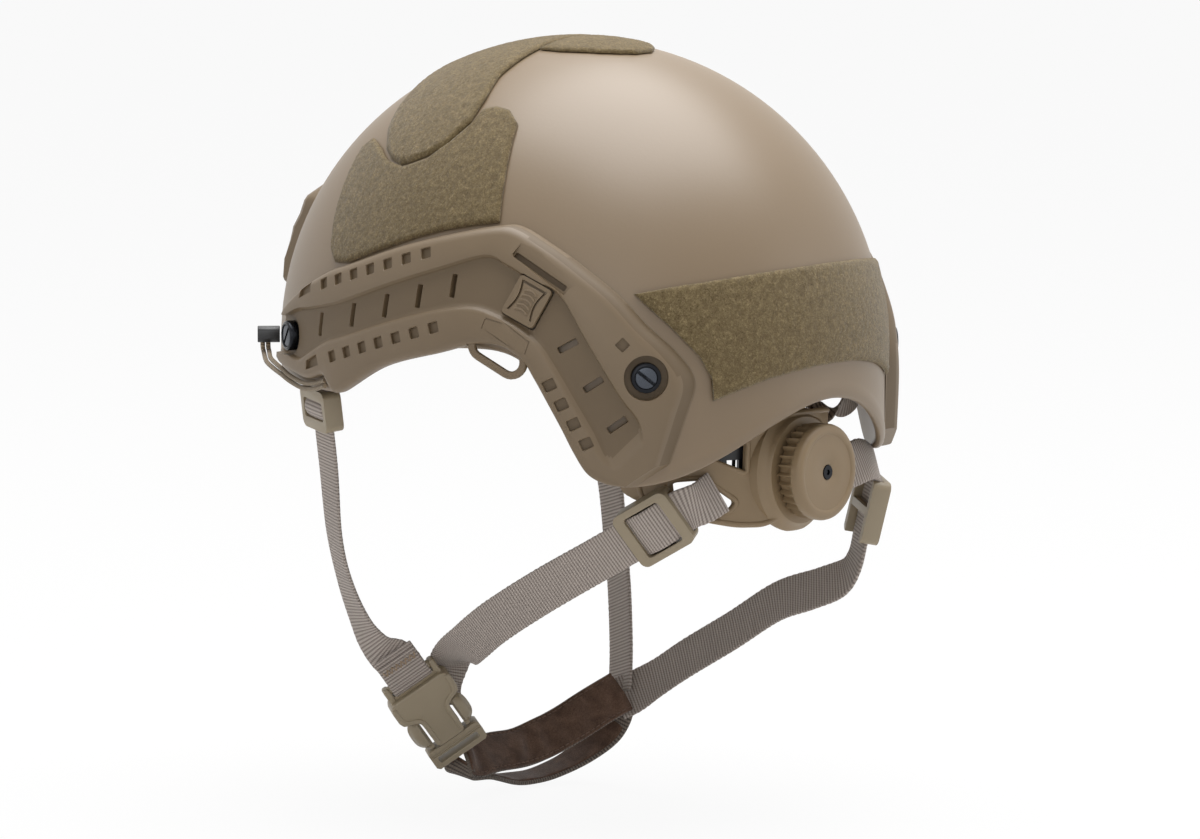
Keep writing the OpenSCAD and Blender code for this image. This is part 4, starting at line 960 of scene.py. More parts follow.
@dataclass
class LoopPanels:
    """The five loop panels."""

    shape: ShellShape = SHELL
    side_rows: tuple = (
        (64.5, 20.5, 53.5, 41), (67.5, 17.9, 56, 43.5), (72, 18.2, 63, 42), (78, 20.4, 70, 39.4),
        (84, 22.6, 77, 38.4),
        (89, 24.4, 83.6, 40.6), (93, 25.6, 88.4, 45.4), (96, 26.4, 91.6, 50), (98.5, 26.9, 92.4, 54),
        (102, 27.6, 96.5, 54.8),
        (105, 28, 101.5, 54), (107.4, 28.4, 105.8, 50.5),
    )
    rear_rows: tuple = (
        (137.6, 12.4, 134.8, 15.1), (141.4, 9, 137.5, 15.6), (147, 3.4, 141.5, 16.2), (149.6, -1, 145, 16.7),
        (149.8, -4.9, 148.3, 17), (153, -3.8, 151.8, 17.4), (157, -2.6, 156, 17.8), (162, -1.3, 161, 18.2),
        (168, -0.4, 167.3, 18.6), (174.3, 0.3, 174, 18.8), (180, 0.4, 180, 18.9),
    )
    front_rows: tuple = (
        (91, -26, 91, -20.5), (87.5, -34, 89.5, -12), (82, -41, 86, -5), (72, -48.5, 77, 1), (60, -53, 66, 0),
        (45, -55.5, 52, -3.6), (28, -57, 38, -3.6), (12, -57.5, 18, -3.6),
    )
    crown_rows: tuple = ((-2.6, 25.5), (8, 25.5), (16, 22.5), (24, 18), (30, 12), (34, 5))

    def build(self) -> None:
        """Builds all five panels."""
        side = np.array(self.side_rows, dtype=float)
        for mirrored, word in ((False, "left"), (True, "right")):
            LoopPanel(
                f"loop_panel_side_{word}", side, self.shape.surf
            ).build([f"patch_side_{word}"], mirrored)
        half = np.array(self.rear_rows, dtype=float)
        other = half[-2::-1].copy()
        other[:, 0], other[:, 2] = 360 - other[:, 0], 360 - other[:, 2]
        LoopPanel("loop_panel_rear", np.vstack([half, other]), self.shape.surf).build(["patch_rear"])
        half = np.array(self.front_rows, dtype=float)
        other = half[::-1].copy()
        other[:, [0, 2]] *= -1
        LoopPanel("loop_panel_front_top", np.vstack([half, other]), self.shape.top).build(["patch_front_top"])
        crown = np.array([(-w, y, w, y) for y, w in self.crown_rows], dtype=float)
        LoopPanel("loop_panel_crown", crown, self.shape.top).build(["patch_crown"])


# Side rails


@dataclass
class SideRail:
    """One side rail with its channel, slots, flange pockets and seats for bolts and lock tab."""

    mirrored: bool
    shape: ShellShape = SHELL
    height: float = 7.0
    floor: float = 4.2
    seat_gap: float = 0.5
    slot: tuple[float, float] = (10.0, 2.5)
    pocket: float = 4.6
    pocket_depth: float = 1.7
    head_r: float = 6.4
    head_t: float = 4.4
    tab_size: tuple[float, float] = (18.0, 15.5)
    tab_place: tuple[float, float] = (55.6, 29.9)
    tab_turn: float = 63.0
    loop_place: tuple[float, float] = (45.2, 8.7)
    loop_turn: float = -27.0
    bolts: tuple[tuple[float, float], ...] = ((-73.0, 7.0), (98.0, 0.0))
    # Outer edge, inner edge and the two flange lines at each station, in side view
    stations: tuple = (
        (-84.5, 12.5, -87.5, -4.5, 0.25, 0.8), (-81.6, 18.5, -83, -6.5, 0.25, 0.82),
        (-68, 27.7, -68, -8.8, 0.17, 0.78),
        (-60, 31.8, -58.5, -9.7, 0.24, 0.74), (-51, 35.8, -46.5, -7, 0.29, 0.7),
        (-45, 38.2, -41.8, -11.6, 0.38, 0.72),
        (-33, 41.8, -35.5, -13, 0.41, 0.73), (-6, 50.7, -9.5, 0, 0.35, 0.71),
        (18.6, 57.2, 18.5, 7.6, 0.35, 0.74),
        (38, 61.2, 33.5, 11.6, 0.31, 0.77), (47, 60.6, 47, 12.2, 0.24, 0.71), (60, 54, 57.5, 6.5, 0.24, 0.71),
        (72, 46.3, 62.5, -1.5, 0.27, 0.77), (87, 34.2, 67.5, -11.5, 0.24, 0.67),
        (98, 21.2, 72.8, -22.5, 0.22, 0.62),
        (107.3, 9.9, 77.2, -32.5, 0.21, 0.58), (112.6, -2.2, 82, -41, 0.19, 0.6),
        (110.2, -17.5, 88.5, -45, 0.2, 0.62),
        (105.8, -37, 95.5, -46.2, 0.3, 0.6),
    )
    # Engraved lines: the plate above the loop and two mould partings, in side view
    fine_lines: tuple = (
        ((40.4, 22.4), (47.6, 21.1)), ((47.6, 21.1), (58.7, 14.3)),
        ((58.7, 14.3), (56.9, 9)), ((56.9, 9), (39, 18.5)),
        ((39, 18.5), (40.4, 22.4)), ((34.6, 46.6), (35.9, 40.4)),
        ((68.7, 20.5), (71.4, 15.9)),
    )
    # Middles of the channel's slots, and of those on the rear arm
    slots: tuple = ((-49, 14), (-28, 19.8), (-9.4, 25), (7.4, 30), (23.2, 35))
    rear_slots: tuple = ((72.2, 12.7), (81.4, -3), (89.3, -19.8))
    # Rows of pockets on both flanges and on the rear arm: first place and step
    pocket_rows: tuple = ((-46.2, 30.6, 9.2, 2.68), (-37, 2.2, 9.1, 2.6))
    pocket_count: int = 7
    rear_pockets: tuple[float, ...] = (66.3, -3.2, 4.3, -8.1)
    single_pocket: tuple[float, float] = (90.5, 13.2)
    wedge: tuple = ((-6.2, -1.8), (4.2, -2.3), (4.2, 2.3), (-4.6, 1.6))
    wedge_places: tuple = ((-59.2, 26.8), (-50.8, -1.6))
    # Turn of each kind of opening in the side view, in degrees
    slot_turn: float = 88.0
    rear_slot_turn: float = 28.0
    flange_turn: float = 18.0
    rear_turn: float = -62.0
    single_turn: float = 40.0
    # Depth and spread of the chamfer round an opening
    chamfer: tuple[float, float] = (0.45, 0.45)
    # Room round the front and the rear bolt head
    head_room: tuple[float, float] = (1.8, 3.0)
    # How far the cutters reach past the rail
    past: float = 0.1
    # How far the channel floor has risen to the flanges at the last stations
    rise: tuple[float, ...] = (0.0, 0.25, 1.0, 1.0)

    def build(self) -> Piece:
        """Builds the rail and cuts its openings."""
        word = "right" if self.mirrored else "left"
        piece = self.blank(f"rail_moulding_{word}")
        carve(piece, self.cutters())
        smooth(piece, 32)
        self.shade(piece)
        if self.mirrored:
            mirror_piece(piece)
        return place_piece(piece, "helmet", "rail_polymer", f"rail_{word}")

    def shade(self, piece: Piece) -> None:
        """Gives the sunken faces a darker, rougher copy of the rail nylon; the darker colour is painted
        shade.
        """
        piece.data.materials.append(finish_of(Finish.RAIL_PAINTED_SHADE))
        for face in piece.data.polygons:
            spot = np.array(face.center) / MM
            out = self.shape.outward(spot)
            height = float((spot - self.shape.side(spot[1], spot[2], 0)) @ out)
            # Recessed faces that look outwards take the darker nylon, as painted shade
            if height < self.height - self.pocket_depth + 0.2 and float(
                np.array(face.normal) @ out
            ) > 0.55 and height > 1:
                face.material_index = len(piece.data.materials) - 1

    def profile(self, low: float, high: float, risen: float, share: float) -> Outline:
        """Returns places across the rail with their heights, from inner to outer edge.

        Args:
            low: Place of the inner flange's wall.
            high: Place of the outer flange's wall.
            risen: How far the channel floor has risen to the flanges.
            share: How far along the rail, from 0 to 1.
        """
        top = self.height
        base = self.floor + (top - self.floor) * min(1.0, max(0.0, risen))
        deep = (top - base) / (top - self.floor)
        # The outer flange slopes away towards its edge on the rear arm
        fall = 1.2 * ease((share - 0.55) / 0.12) * ease((0.93 - share) / 0.08)
        return [
            (0.0, 1.0), (0.0, 3.4), (0.008, 4.9), (0.022, 6.0), (0.042, 6.65), (0.07, top), (low * 0.6, top),
            (low - 0.02, top),
            (low, top - 0.2 * deep), (low + 0.013, top - 0.8 * deep), (low + 0.024, base + 0.9 * deep),
            (low + 0.04, base + 0.2 * deep),
            (low + 0.06, base), ((low + high) / 2, base), (high - 0.06, base),
            (high - 0.04, base + 0.2 * deep),
            (high - 0.024, base + 0.9 * deep), (high - 0.013, top - 0.8 * deep), (high, top - 0.2 * deep),
            (high + 0.02, top),
            (high + (0.94 - high) * 0.4, top), (high + (0.94 - high) * 0.5, top - 0.1 * fall),
            (0.925, top - 0.6 * fall), (0.95, top - 0.2 - 0.6 * fall), (0.972, top - 0.75 - 0.6 * fall),
            (0.988, top - 1.6 - 0.5 * fall),
            (0.997, top - 2.7 - 0.3 * fall), (1.0, top - 4.0), (1.0, 1.0),
        ]

    def blank(self, name: str) -> Piece:
        """Builds the uncut rail."""
        rises = [0.0] * (len(self.stations) - len(self.rise)) + list(self.rise)
        rows = [(*station, up) for station, up in zip(self.stations, rises)]
        track = evenly(spline(rows, 2.0), 2.2)
        upper, lower = [], []
        for i, row in enumerate(track):
            spots = [
                (row[2] + (row[0] - row[2]) * v, row[3] + (row[1] - row[3]) * v, h)
                for v, h in self.profile(row[4], row[5], row[6], i / (len(track) - 1))
            ]
            upper.append([self.shape.side(y, z, h) for y, z, h in spots])
            lower.append([self.shape.side(y, z, self.seat_gap) for y, z, h in spots])
        return closed_grid(name, np.array(upper), np.array(lower), Finish.RAIL)

    def cutters(self) -> list[Piece]:
        """Returns the shapes of all openings."""
        out = []
        above = self.height + self.past

        def hole(seat: Seat, outline: Outline, low: float, high: float, flare: tuple | None = None) -> None:
            out.append(prism("cutter", seat, outline, low, high, Finish.RAIL, flare))

        def cut(y: float, z: float, turn: float, outline: Outline, low: float) -> None:
            hole(self.shape.seat(y, z, turn), outline, low, above, self.chamfer)

        for y, z in self.slots:
            hole(
                self.shape.seat(y, z, self.slot_turn), box_outline(*self.slot, 0.5), -3,
                self.floor + self.past, self.chamfer,
            )
        short = box_outline(self.slot[0] - 1, self.slot[1] + 0.3, 0.5)
        for y, z in self.rear_slots:
            hole(self.shape.seat(y, z, self.rear_slot_turn), short, -3, self.floor + self.past, self.chamfer)
        square = box_outline(self.pocket, self.pocket, 0.5)
        depth = self.height - self.pocket_depth
        for k in range(self.pocket_count):
            for y, z, dy, dz in self.pocket_rows:
                cut(y + dy * k, z + dz * k, self.flange_turn, square, depth)
        y, z, dy, dz = self.rear_pockets
        for k in range(4):
            cut(
                y + dy * k,
                z + dz * k,
                self.rear_turn,
                box_outline(self.pocket, self.pocket + 0.6, 0.5),
                depth,
            )
        cut(*self.single_pocket, self.single_turn, square, depth)
        for y, z in self.wedge_places:
            cut(y, z, self.flange_turn, self.wedge, depth)
        # Clearance above the lock tab, with a sloped floor, and the slot that its top slides in
        slope = self.shape.seat(60.5, 44.6, -29, (self.height + self.floor) / 2 + 0.3)
        x, y, z = slope.axes()
        hole(Seat(slope.place, x, unit(z - 0.24 * y)), box_outline(29, 11.5, 0.8), 0, 4, (1.2, 0.6))
        cut(58.6, 41.8, -25, box_outline(27, 2.6, 0.8), self.floor - 1.6)
        for start, end in self.fine_lines:
            middle = (np.array(start) + np.array(end)) / 2
            run = np.array(end) - np.array(start)
            seat = self.shape.seat(*middle, math.degrees(math.atan2(run[1], run[0])))
            outline = box_outline(float(np.linalg.norm(run)) + 0.3, 0.5)
            hole(seat, outline, self.height - 0.35, self.height + 2)
        long, wide = self.tab_size
        cut(*self.tab_place, self.tab_turn, box_outline(long + 1, wide + 1, 1.2), -3)
        # The loop tucks under the edge of the rail
        hole(self.shape.seat(*self.loop_place, self.loop_turn, 1.7), stadium(14.0, 7.5), -5, 3.3)
        seat_low = self.height - self.head_t
        for bolt, room in zip(self.bolts, self.head_room):
            seat = self.bolt_seat(*bolt)
            hole(seat, disc_outline(self.head_r + room), seat_low, self.height + 0.3, (0.8, 0.5))
            hole(seat, disc_outline(3), -4, self.height)
        # The front recess runs out through the end of the rail
        r = self.head_r + self.head_room[0]
        hole(self.bolt_seat(*self.bolts[0]), [(-r, 0), (r, 0), (r, 24), (-r, 24)], seat_low, self.height + 6)
        return out

    def bolt_seat(self, y: float, z: float) -> Seat:
        """Returns the seat of a bolt, level as the bolts are."""
        p = self.shape.side(y, z, 0)
        n = self.shape.outward(p)
        return Seat(p, vec(0, 0, 1), unit([n[0], n[1], 0]))


def mirror_piece(piece: Piece) -> None:
    """Turns a piece into its mirror image across the middle of the helmet."""
    piece.data.transform(Matrix.Scale(-1, 4, (1, 0, 0)))
    piece.data.flip_normals()


@dataclass
class LockTab:
    """The ribbed lock tab: a framed plate with a tongue between two side gaps."""

    mirrored: bool
    rail: SideRail
    plate_h: tuple[float, float] = (4.2, 6.4)
    ribs: int = 5

    def build(self) -> Piece:
        """Builds the tab."""
        rail, (low, high) = self.rail, self.plate_h
        word = "right" if self.mirrored else "left"
        seat = rail.shape.seat(*rail.tab_place, rail.tab_turn)
        long, wide = rail.tab_size
        frame_piece = prism("tab_frame", seat, box_outline(long, wide, 1.6), low, high, Finish.RAIL)
        xs = np.linspace(-long * 0.36, long * 0.38, 15)
        waist = [wide * (0.36 - 0.09 * math.sin(math.pi * (x / long + 0.36) / 0.74)) for x in xs]
        gaps = []
        for side in (-1, 1):
            line = [(x, side * (y + 0.5)) for x, y in zip(xs, waist)] + [
                (x, side * (y - 0.5)) for x, y in zip(xs[::-1], waist[::-1])
            ]
            gaps.append(prism("gap", seat, line, low + 0.7, high + 1, Finish.RAIL))
        gaps.append(
            prism(
                "gap",
                seat,
                box_outline(1.0, 2 * waist[-1] + 1.0, 0.3, x=xs[-1]),
                low + 0.7,
                high + 1,
                Finish.RAIL,
            )
        )
        carve(frame_piece, gaps)
        round_edges(frame_piece, 0.35)
        parts = [frame_piece]
        for k in range(self.ribs):
            x = (k - (self.ribs - 1) / 2) * long / 8.4
            centre = seat.at(
                [(x - 0.7 + 1.0 * (1 - t * t), t * wide * 0.19, high + 0.05) for t in np.linspace(-1, 1, 9)]
            )
            _, y, z = seat.axes()
            across, facing = frames_along(centre, z)
            parts.append(swept("rib", centre, across, facing, steady(oval(0.55, 0.5, 8)), Finish.RAIL))
        piece = join(f"lock_tab_{word}", parts)
        if self.mirrored:
            mirror_piece(piece)
        return place_piece(piece, f"lock_{word}", "rail_polymer", f"rail_lock_{word}")


@dataclass
class LanyardLoop:
    """The oval loop under the corner of the rail."""

    mirrored: bool
    rail: SideRail
    span: float = 14.0
    outer_r: float = 7.2
    inner_r: float = 3.8
    low: float = 1.7
    thick: float = 3.0

    def build(self) -> Piece:
        """Builds the loop as a ring with a rounded section."""
        word = "right" if self.mirrored else "left"
        seat = self.rail.shape.seat(*self.rail.loop_place, self.rail.loop_turn, self.low)
        ring = prism("loop", seat, stadium(self.span, self.outer_r), 0, self.thick, Finish.RAIL)
        carve(ring, [prism("hole", seat, stadium(self.span, self.inner_r), -3, self.thick + 3, Finish.RAIL)])
        round_edges(ring, 1.0, 3)
        piece = join(f"lanyard_loop_{word}", [ring])
        if self.mirrored:
            mirror_piece(piece)
        return place_piece(piece, "helmet", "rail_polymer", f"rail_loop_{word}")


@dataclass
class RailBolts:
    """The four slotted bolts: a black rim round a steel face."""

    rail: SideRail
    base: float = 2.7
    shank_r: float = 2.5
    shank_from: float = -8.5
    slot_w: float = 1.5
    slot_turns: tuple[float, float] = (-38.0, 52.0)
    # Rounded edges of the rim and of the face: steps in from the head's radius and down from its top
    rim_line: tuple = ((0, 1.0), (0.25, 0.4), (0.8, 0.05), (1.3, 0), (1.6, 0.15), (1.75, 0.7))
    face_line: tuple = ((1.8, 1.4), (1.8, 0.62), (2.0, 0.42), (2.4, 0.34))

    def build(self) -> Piece:
        """Builds all four as one piece."""
        r, low, top = self.rail.head_r, self.base, self.base + self.rail.head_t
        parts = []
        for mirrored in (False, True):
            for (y, z), turn in zip(self.rail.bolts, self.slot_turns):
                seat = self.rail.bolt_seat(y, z)
                rim_line, face_line = (
                    [(r - a, top - b) for a, b in line] for line in (self.rim_line, self.face_line)
                )
                rim = turned(
                    "rim", seat, [(r - 0.5, low), (r, low + 0.4)] + rim_line + [(0.2, top - 0.7)], Finish.BOLT
                )
                face = turned("face", seat, face_line + [(0.2, top - 0.3)], Finish.FACE)
                t = math.radians(turn)
                x, yy, n = seat.axes()
                cut_seat = Seat(seat.place, x * math.cos(t) + yy * math.sin(t), n)
                for part in (rim, face):
                    carve(
                        part,
                        [
                            prism(
                                "slot", cut_seat, box_outline(2 * r - 3.4, self.slot_w), top - 1.25, top + 1,
                                Finish.BOLT,
                            )
                        ],
                    )
                shank = turned(
                    "shank",
                    seat,
                    [(self.shank_r, self.shank_from), (self.shank_r, low + 0.2)],
                    Finish.BOLT,
                    24,
                )
                for part in (rim, face, shank):
                    if mirrored:
                        mirror_piece(part)
                    smooth(part, 30)
                    parts.append(part)
        piece = join("rail_bolt_heads", parts)
        return place_piece(piece, "helmet", "black_hardware", "rail_bolts")


# Front bracket and the elastic cords


@dataclass
class FrontBracket:
    """The stand-off bracket at the brow, with its slide and three screw seats."""

    shape: ShellShape = SHELL
    width: float = 70.0
    seat_gap: float = 0.5
    line: tuple = ((18, 4.5), (44, 2), (58, -5), (68, -15.5))
    # Share of its half width that stays flat
    flat: float = 0.66
    # Drop of the rounded edge, and how far in it runs from the top and the bottom
    edge: float = 1.3
    fade: float = 2.2
    slide: tuple[float, float, float] = (38.0, 31.0, 52.0)
    screws: tuple = ((0.0, 61.0), (27.0, 26.0), (-27.0, 26.0))
    levels: tuple = (
        18, 18.4, 19.2, 20.6, 22, 26, 30, 34, 38, 42, 44, 47, 50, 53, 56, 58, 60, 62, 64, 66, 67.2, 68
    )

    def front_y(self, z: float) -> float:
        """Returns the y of the bracket's face."""
        zs, steps = zip(*self.line)
        return -self.shape.length / 2 - float(np.interp(z, zs, steps))

    def fall(self, t: float, z: float) -> float:
        """Returns how far the face has fallen back towards the sides."""
        depth = float(np.interp(z, (30, 40, 50, 60, 68), (0.3, 4, 5.7, 4.7, 4)))
        return depth * (max(0.0, abs(t) - self.flat) / (1 - self.flat)) ** 1.4

    def half(self, z: float) -> float:
        """Returns half its width at a level."""
        w = self.width / 2
        return w - 4 * (1 - ease((z - 17.6) / 4.4)) - max(0.0, z - 57) * 1.2

    def build(self) -> Piece:
        """Builds the bracket."""
        shares = np.concatenate(
            [[-1, -0.992, -0.975, -0.945], np.linspace(-0.9, 0.9, 25), [0.945, 0.975, 0.992, 1]]
        )
        upper, lower = [], []
        for t in shares:
            edge = self.edge * (1 - ease((1 - abs(t)) / 0.055))
            row_up, row_low = [], []
            for z in self.levels:
                x = t * self.half(z)
                back = self.shape.front(x, z, self.seat_gap)
                ends = (z - self.levels[0], self.levels[-1] - z)
                rim = max(edge, *(self.edge * (1 - ease(far / self.fade)) for far in ends))
                y = min(self.front_y(z) + rim + self.fall(t, z), back[1] - 0.8)
                row_up.append([x, y, z])
                row_low.append(back)
            upper.append(row_up)
            lower.append(row_low)
        piece = closed_grid("front_bracket_plate", np.array(upper), np.array(lower), Finish.RAIL)
        wide, low, high = self.slide
        middle = (low + high) / 2
        facing = Seat(vec(0, -self.shape.length / 2, middle), vec(1, 0, 0), vec(0, -1, 0))
        cuts = [prism("throat", facing, box_outline(wide, high - low, 1.2), -25, 15, Finish.RAIL)]
        cuts.append(prism("slide", facing, box_outline(wide + 6, high - low, 1.0), -3.4, -1.0, Finish.RAIL))
        for x, z in self.screws:
            seat = Seat(vec(x, self.front_y(z), z), vec(1, 0, 0), vec(0, -1, 0))
            cuts.append(prism("seat", seat, disc_outline(4.6), -2.0, 0.6, Finish.RAIL, (0.5, 0.5)))
            cuts.append(prism("hole", seat, disc_outline(2.3, 24), -40, 1, Finish.RAIL))
        carve(piece, cuts)
        smooth(piece, 32)
        return place_piece(piece, "helmet", "rail_polymer", "front_bracket")


@dataclass
class BungeeCords:
    """The doubled elastic cord on each side, with the moulded hook that it turns in."""

    shape: ShellShape = SHELL
    radius: float = 1.0
    gap: float = 2.35
    hook_y: float = -107.8
    hook_z: float = 2.4
    hook_size: tuple[float, float, float] = (8.0, 6.8, 9.6)
    out: Array = field(default_factory=lambda: unit([0.64, -0.77, 0]))
    reach: float = 6.7
    top: float = 0.6
    # Middle of the pair in side view with its height, and how far the second strand has turned outwards
    pair: tuple = (
        (-47.2, -10.4, 3.6, 0), (-54.7, -12.3, 3.4, 0), (-65, -13.4, 3.2, 0), (-77.2, -12, 3.6, 0),
        (-86, -10, 4.4, 8),
        (-95, -8.4, 5.4, 25), (-102.5, -6.9, 6.4, 50),
    )

    def at_hook(self, away: float, z: float) -> Array:
        """Returns a point in front of the hook's foot."""
        foot = self.shape.side(self.hook_y, 0, 0)
        return vec(foot[0] + away * self.out[0], foot[1] + away * self.out[1], z)

    def build(self) -> None:
        """Builds both sides."""
        line = [(self.shape.side(y, z, h), turn) for y, z, h, turn in self.pair]
        line += [
            (self.at_hook(self.reach - 0.4, -5.2), 78), (self.at_hook(self.reach, -3), 90),
            (self.at_hook(self.reach, self.top), 90),
        ]
        half = self.gap / 2
        steps = [
            half * (math.cos(math.radians(t)) * vec(0, 0, -1) + math.sin(math.radians(t)) * self.out)
            for _, t in line
        ]
        there = [p - step for (p, _), step in zip(line, steps)]
        back = [p + step for (p, _), step in zip(line[::-1], steps[::-1])]
        turn = [
            self.at_hook(self.reach - math.cos(a) * half, self.top + math.sin(a) * half)
            for a in np.radians((30, 60, 90, 120, 150))
        ]
        centre = evenly(spline(there + turn + back, 0.7), 0.6)
        looks = np.array([unit([p[0], 1.3 * p[1], 60]) for p in centre])
        across, facing = frames_along(centre, looks)
        ring = steady(oval(self.radius, self.radius, 14))
        for mirrored, word in ((False, "left"), (True, "right")):
            cord = swept(f"elastic_cord_{word}", centre, across, facing, ring, Finish.CORD)
            hook = self.hook_piece(word)
            if mirrored:
                mirror_piece(cord)
                mirror_piece(hook)
            place_piece(cord, "helmet", "elastic_cord", f"bungee_{word}")
            place_piece(hook, "helmet", "black_hardware", f"bungee_hook_{word}")

    def hook_piece(self, word: str) -> Piece:
        """Builds the hook with its slot for both strands."""
        foot = self.shape.side(self.hook_y, 0, 0)
        seat = Seat(vec(foot[0], foot[1], self.hook_z), np.cross(vec(0, 0, 1), self.out), self.out)
        long, wide, high = self.hook_size
        piece = prism("hook", seat, box_outline(long, wide, 2.2), 0.5, 0.5 + high, Finish.BLACK)
        roof = self.top + self.gap / 2 + self.radius + 0.3 - self.hook_z
        slot = box_outline(2 * self.radius + 0.6, wide, 0.4, y=roof - wide / 2)
        half = self.gap / 2 + self.radius + 0.3
        carve(piece, [prism("channel", seat, slot, self.reach - half, self.reach + half, Finish.BLACK)])
        round_edges(piece, 0.7, 3)
        return join(f"cord_hook_{word}", [piece])


# Pads inside the shell


@dataclass
class Cushion:
    """A foam pad in a knitted cover: pulled in at its corners, swelling towards the head."""

    name: str
    node: str
    slot: str
    # Gives a point from two places across the pad, each -1 to 1, and a depth from the shell side
    point: Spot
    thick: float
    rows: int = 34
    columns: int = 22
    side: float = 3.0
    bulge_cap: float = 2.6
    welt: float = 0.8

    def swell(self, u: float, v: float) -> float:
        """Returns how full the pad is at a place."""
        return math.sqrt(max(0.0, 1 - abs(u) ** 4)) * math.sqrt(max(0.0, 1 - abs(v) ** 4))

    def build(self) -> Piece:
        """Builds the cushion, inflates its cover and adds the seam."""
        upper, lower = np.zeros((self.rows, self.columns, 3)), np.zeros((self.rows, self.columns, 3))
        for i in range(self.rows):
            for j in range(self.columns):
                u, v = 2 * i / (self.rows - 1) - 1, 2 * j / (self.columns - 1) - 1
                upper[i, j] = self.point(u, v, 0.3)
                lower[i, j] = self.point(
                    u, v, self.side * 0.8 + (self.thick - self.side) * 0.86 * self.swell(u, v)
                )
        piece = closed_grid(self.name, upper, lower, Finish.PAD)
        inflate(piece, self.bulge_cap)
        self.keep_inside(piece)
        smooth(piece, 70)
        edge = [(t, -1) for t in np.linspace(-1, 1, 40)] + [(1, t) for t in np.linspace(-1, 1, 26)[1:]]
        edge += [(-u, -v) for u, v in edge[:-1]][1:] + [edge[0]]
        path = evenly(np.array([self.point(0.985 * u, 0.985 * v, self.side * 0.55) for u, v in edge]), 1.6)
        middle = path.mean(axis=0)
        across, facing = frames_along(path, path - middle)
        welt = swept("welt", path, across, facing, steady(oval(self.welt, self.welt, 8)), Finish.PAD)
        piece = join(self.name, [piece, welt])
        place_piece(piece, "helmet", self.slot, self.node)
        return piece

    def keep_inside(self, piece: Piece) -> None:
        """Presses the shell side of the inflated cover back to where the pad meets its disc."""
        flat = np.array(
            [[self.point(u, v, 0.3) for v in np.linspace(-1, 1, 13)] for u in np.linspace(-1, 1, 19)]
        )
        into = np.array(
            [
                [unit(self.point(u, v, 4.0) - self.point(u, v, 0.3)) for v in np.linspace(-1, 1, 13)]
                for u in np.linspace(-1, 1, 19)
            ]
        )
        spots, ways = flat.reshape(-1, 3), into.reshape(-1, 3)
        for vertex in piece.data.vertices:
            p = np.array(vertex.co) / MM
            k = int(np.argmin(np.linalg.norm(spots - p, axis=1)))
            over = (p - spots[k]) @ ways[k]
            if over < 0:
                vertex.co = Vector((p - ways[k] * over) * MM)


def inflate(piece: Piece, cap: float, voxel: float = 4.5, pressure: float = 4.0, frames: int = 20) -> None:
    """Blows a closed piece up as cloth and keeps the result.

    Args:
        piece: The piece, a little smaller than it should end.
        cap: Most that a point may move, in millimetres.
        voxel: Size of the even mesh that is simulated, in millimetres.
        pressure: Air pressure for the cloth.
        frames: Steps to run.
    """
    scene = bpy.context.scene
    remesh = piece.modifiers.new("even", "REMESH")
    remesh.mode = "VOXEL"
    remesh.voxel_size = voxel * MM
    apply_modifiers(piece)
    before = np.array([v.co for v in piece.data.vertices])
    cloth = piece.modifiers.new("cover", "CLOTH")
    cloth.settings.use_pressure = True
    cloth.settings.uniform_pressure_force = pressure
    cloth.settings.effector_weights.gravity = 0
    cloth.settings.quality = 5
    for k in range(1, frames + 1):
        scene.frame_set(k)
    apply_modifiers(piece)
    scene.frame_set(1)
    after = np.array([v.co for v in piece.data.vertices])
    move = after - before
    far = np.linalg.norm(move, axis=1)
    share = np.minimum(1.0, cap * MM / np.maximum(far, 1e-9))
    for vertex, place in zip(piece.data.vertices, before + move * share[:, None]):
        vertex.co = place
    finer = piece.modifiers.new("finer", "SUBSURF")
    finer.levels = 1
    apply_modifiers(piece)


@dataclass
class Pads:
    """Crown, front, rear and two side pads."""

    shape: ShellShape = SHELL
    thick: float = 16.0
    crown_r: float = 40.0
    outer: float = -5.9

    def on_wall(self, a0: float, a1: float, t0: float, t1: float, mirrored: bool = False) -> Spot:
        """Returns the map of a pad on the side wall."""

        def point(u: float, v: float, depth: float) -> Array:
            a = a0 + (a1 - a0) * (u * (1 - 0.06 * v * v) + 1) / 2
            t = t0 + (t1 - t0) * (v * (1 - 0.06 * u * u) + 1) / 2
            p = self.shape.surf(a, t, self.outer - depth)
            return vec(-p[0], p[1], p[2]) if mirrored else p

        return point

    def on_crown(self, u: float, v: float, depth: float) -> Array:
        """Returns a point of the round crown pad."""
        x, y = u * math.sqrt(1 - v * v / 2), v * math.sqrt(1 - u * u / 2)
        return self.shape.top(x * self.crown_r, y * self.crown_r, self.outer - depth)

    def build(self) -> None:
        """Builds the pads."""
        side = (66, 114, 16, 44)
        for word, limits in (
            ("front", (-30, 30, 8, 36)), ("rear", (152, 208, 8, 36)), ("side_left", side),
            ("side_right", (*side, True)),
        ):
            Cushion(f"cushion_{word}", f"pad_{word}", "pad_cover", self.on_wall(*limits), self.thick).build()
        Cushion(
            "cushion_crown", "pad_crown", "pad_cover", self.on_crown, self.thick, rows=26, columns=26
        ).build()


# Fit system at the nape


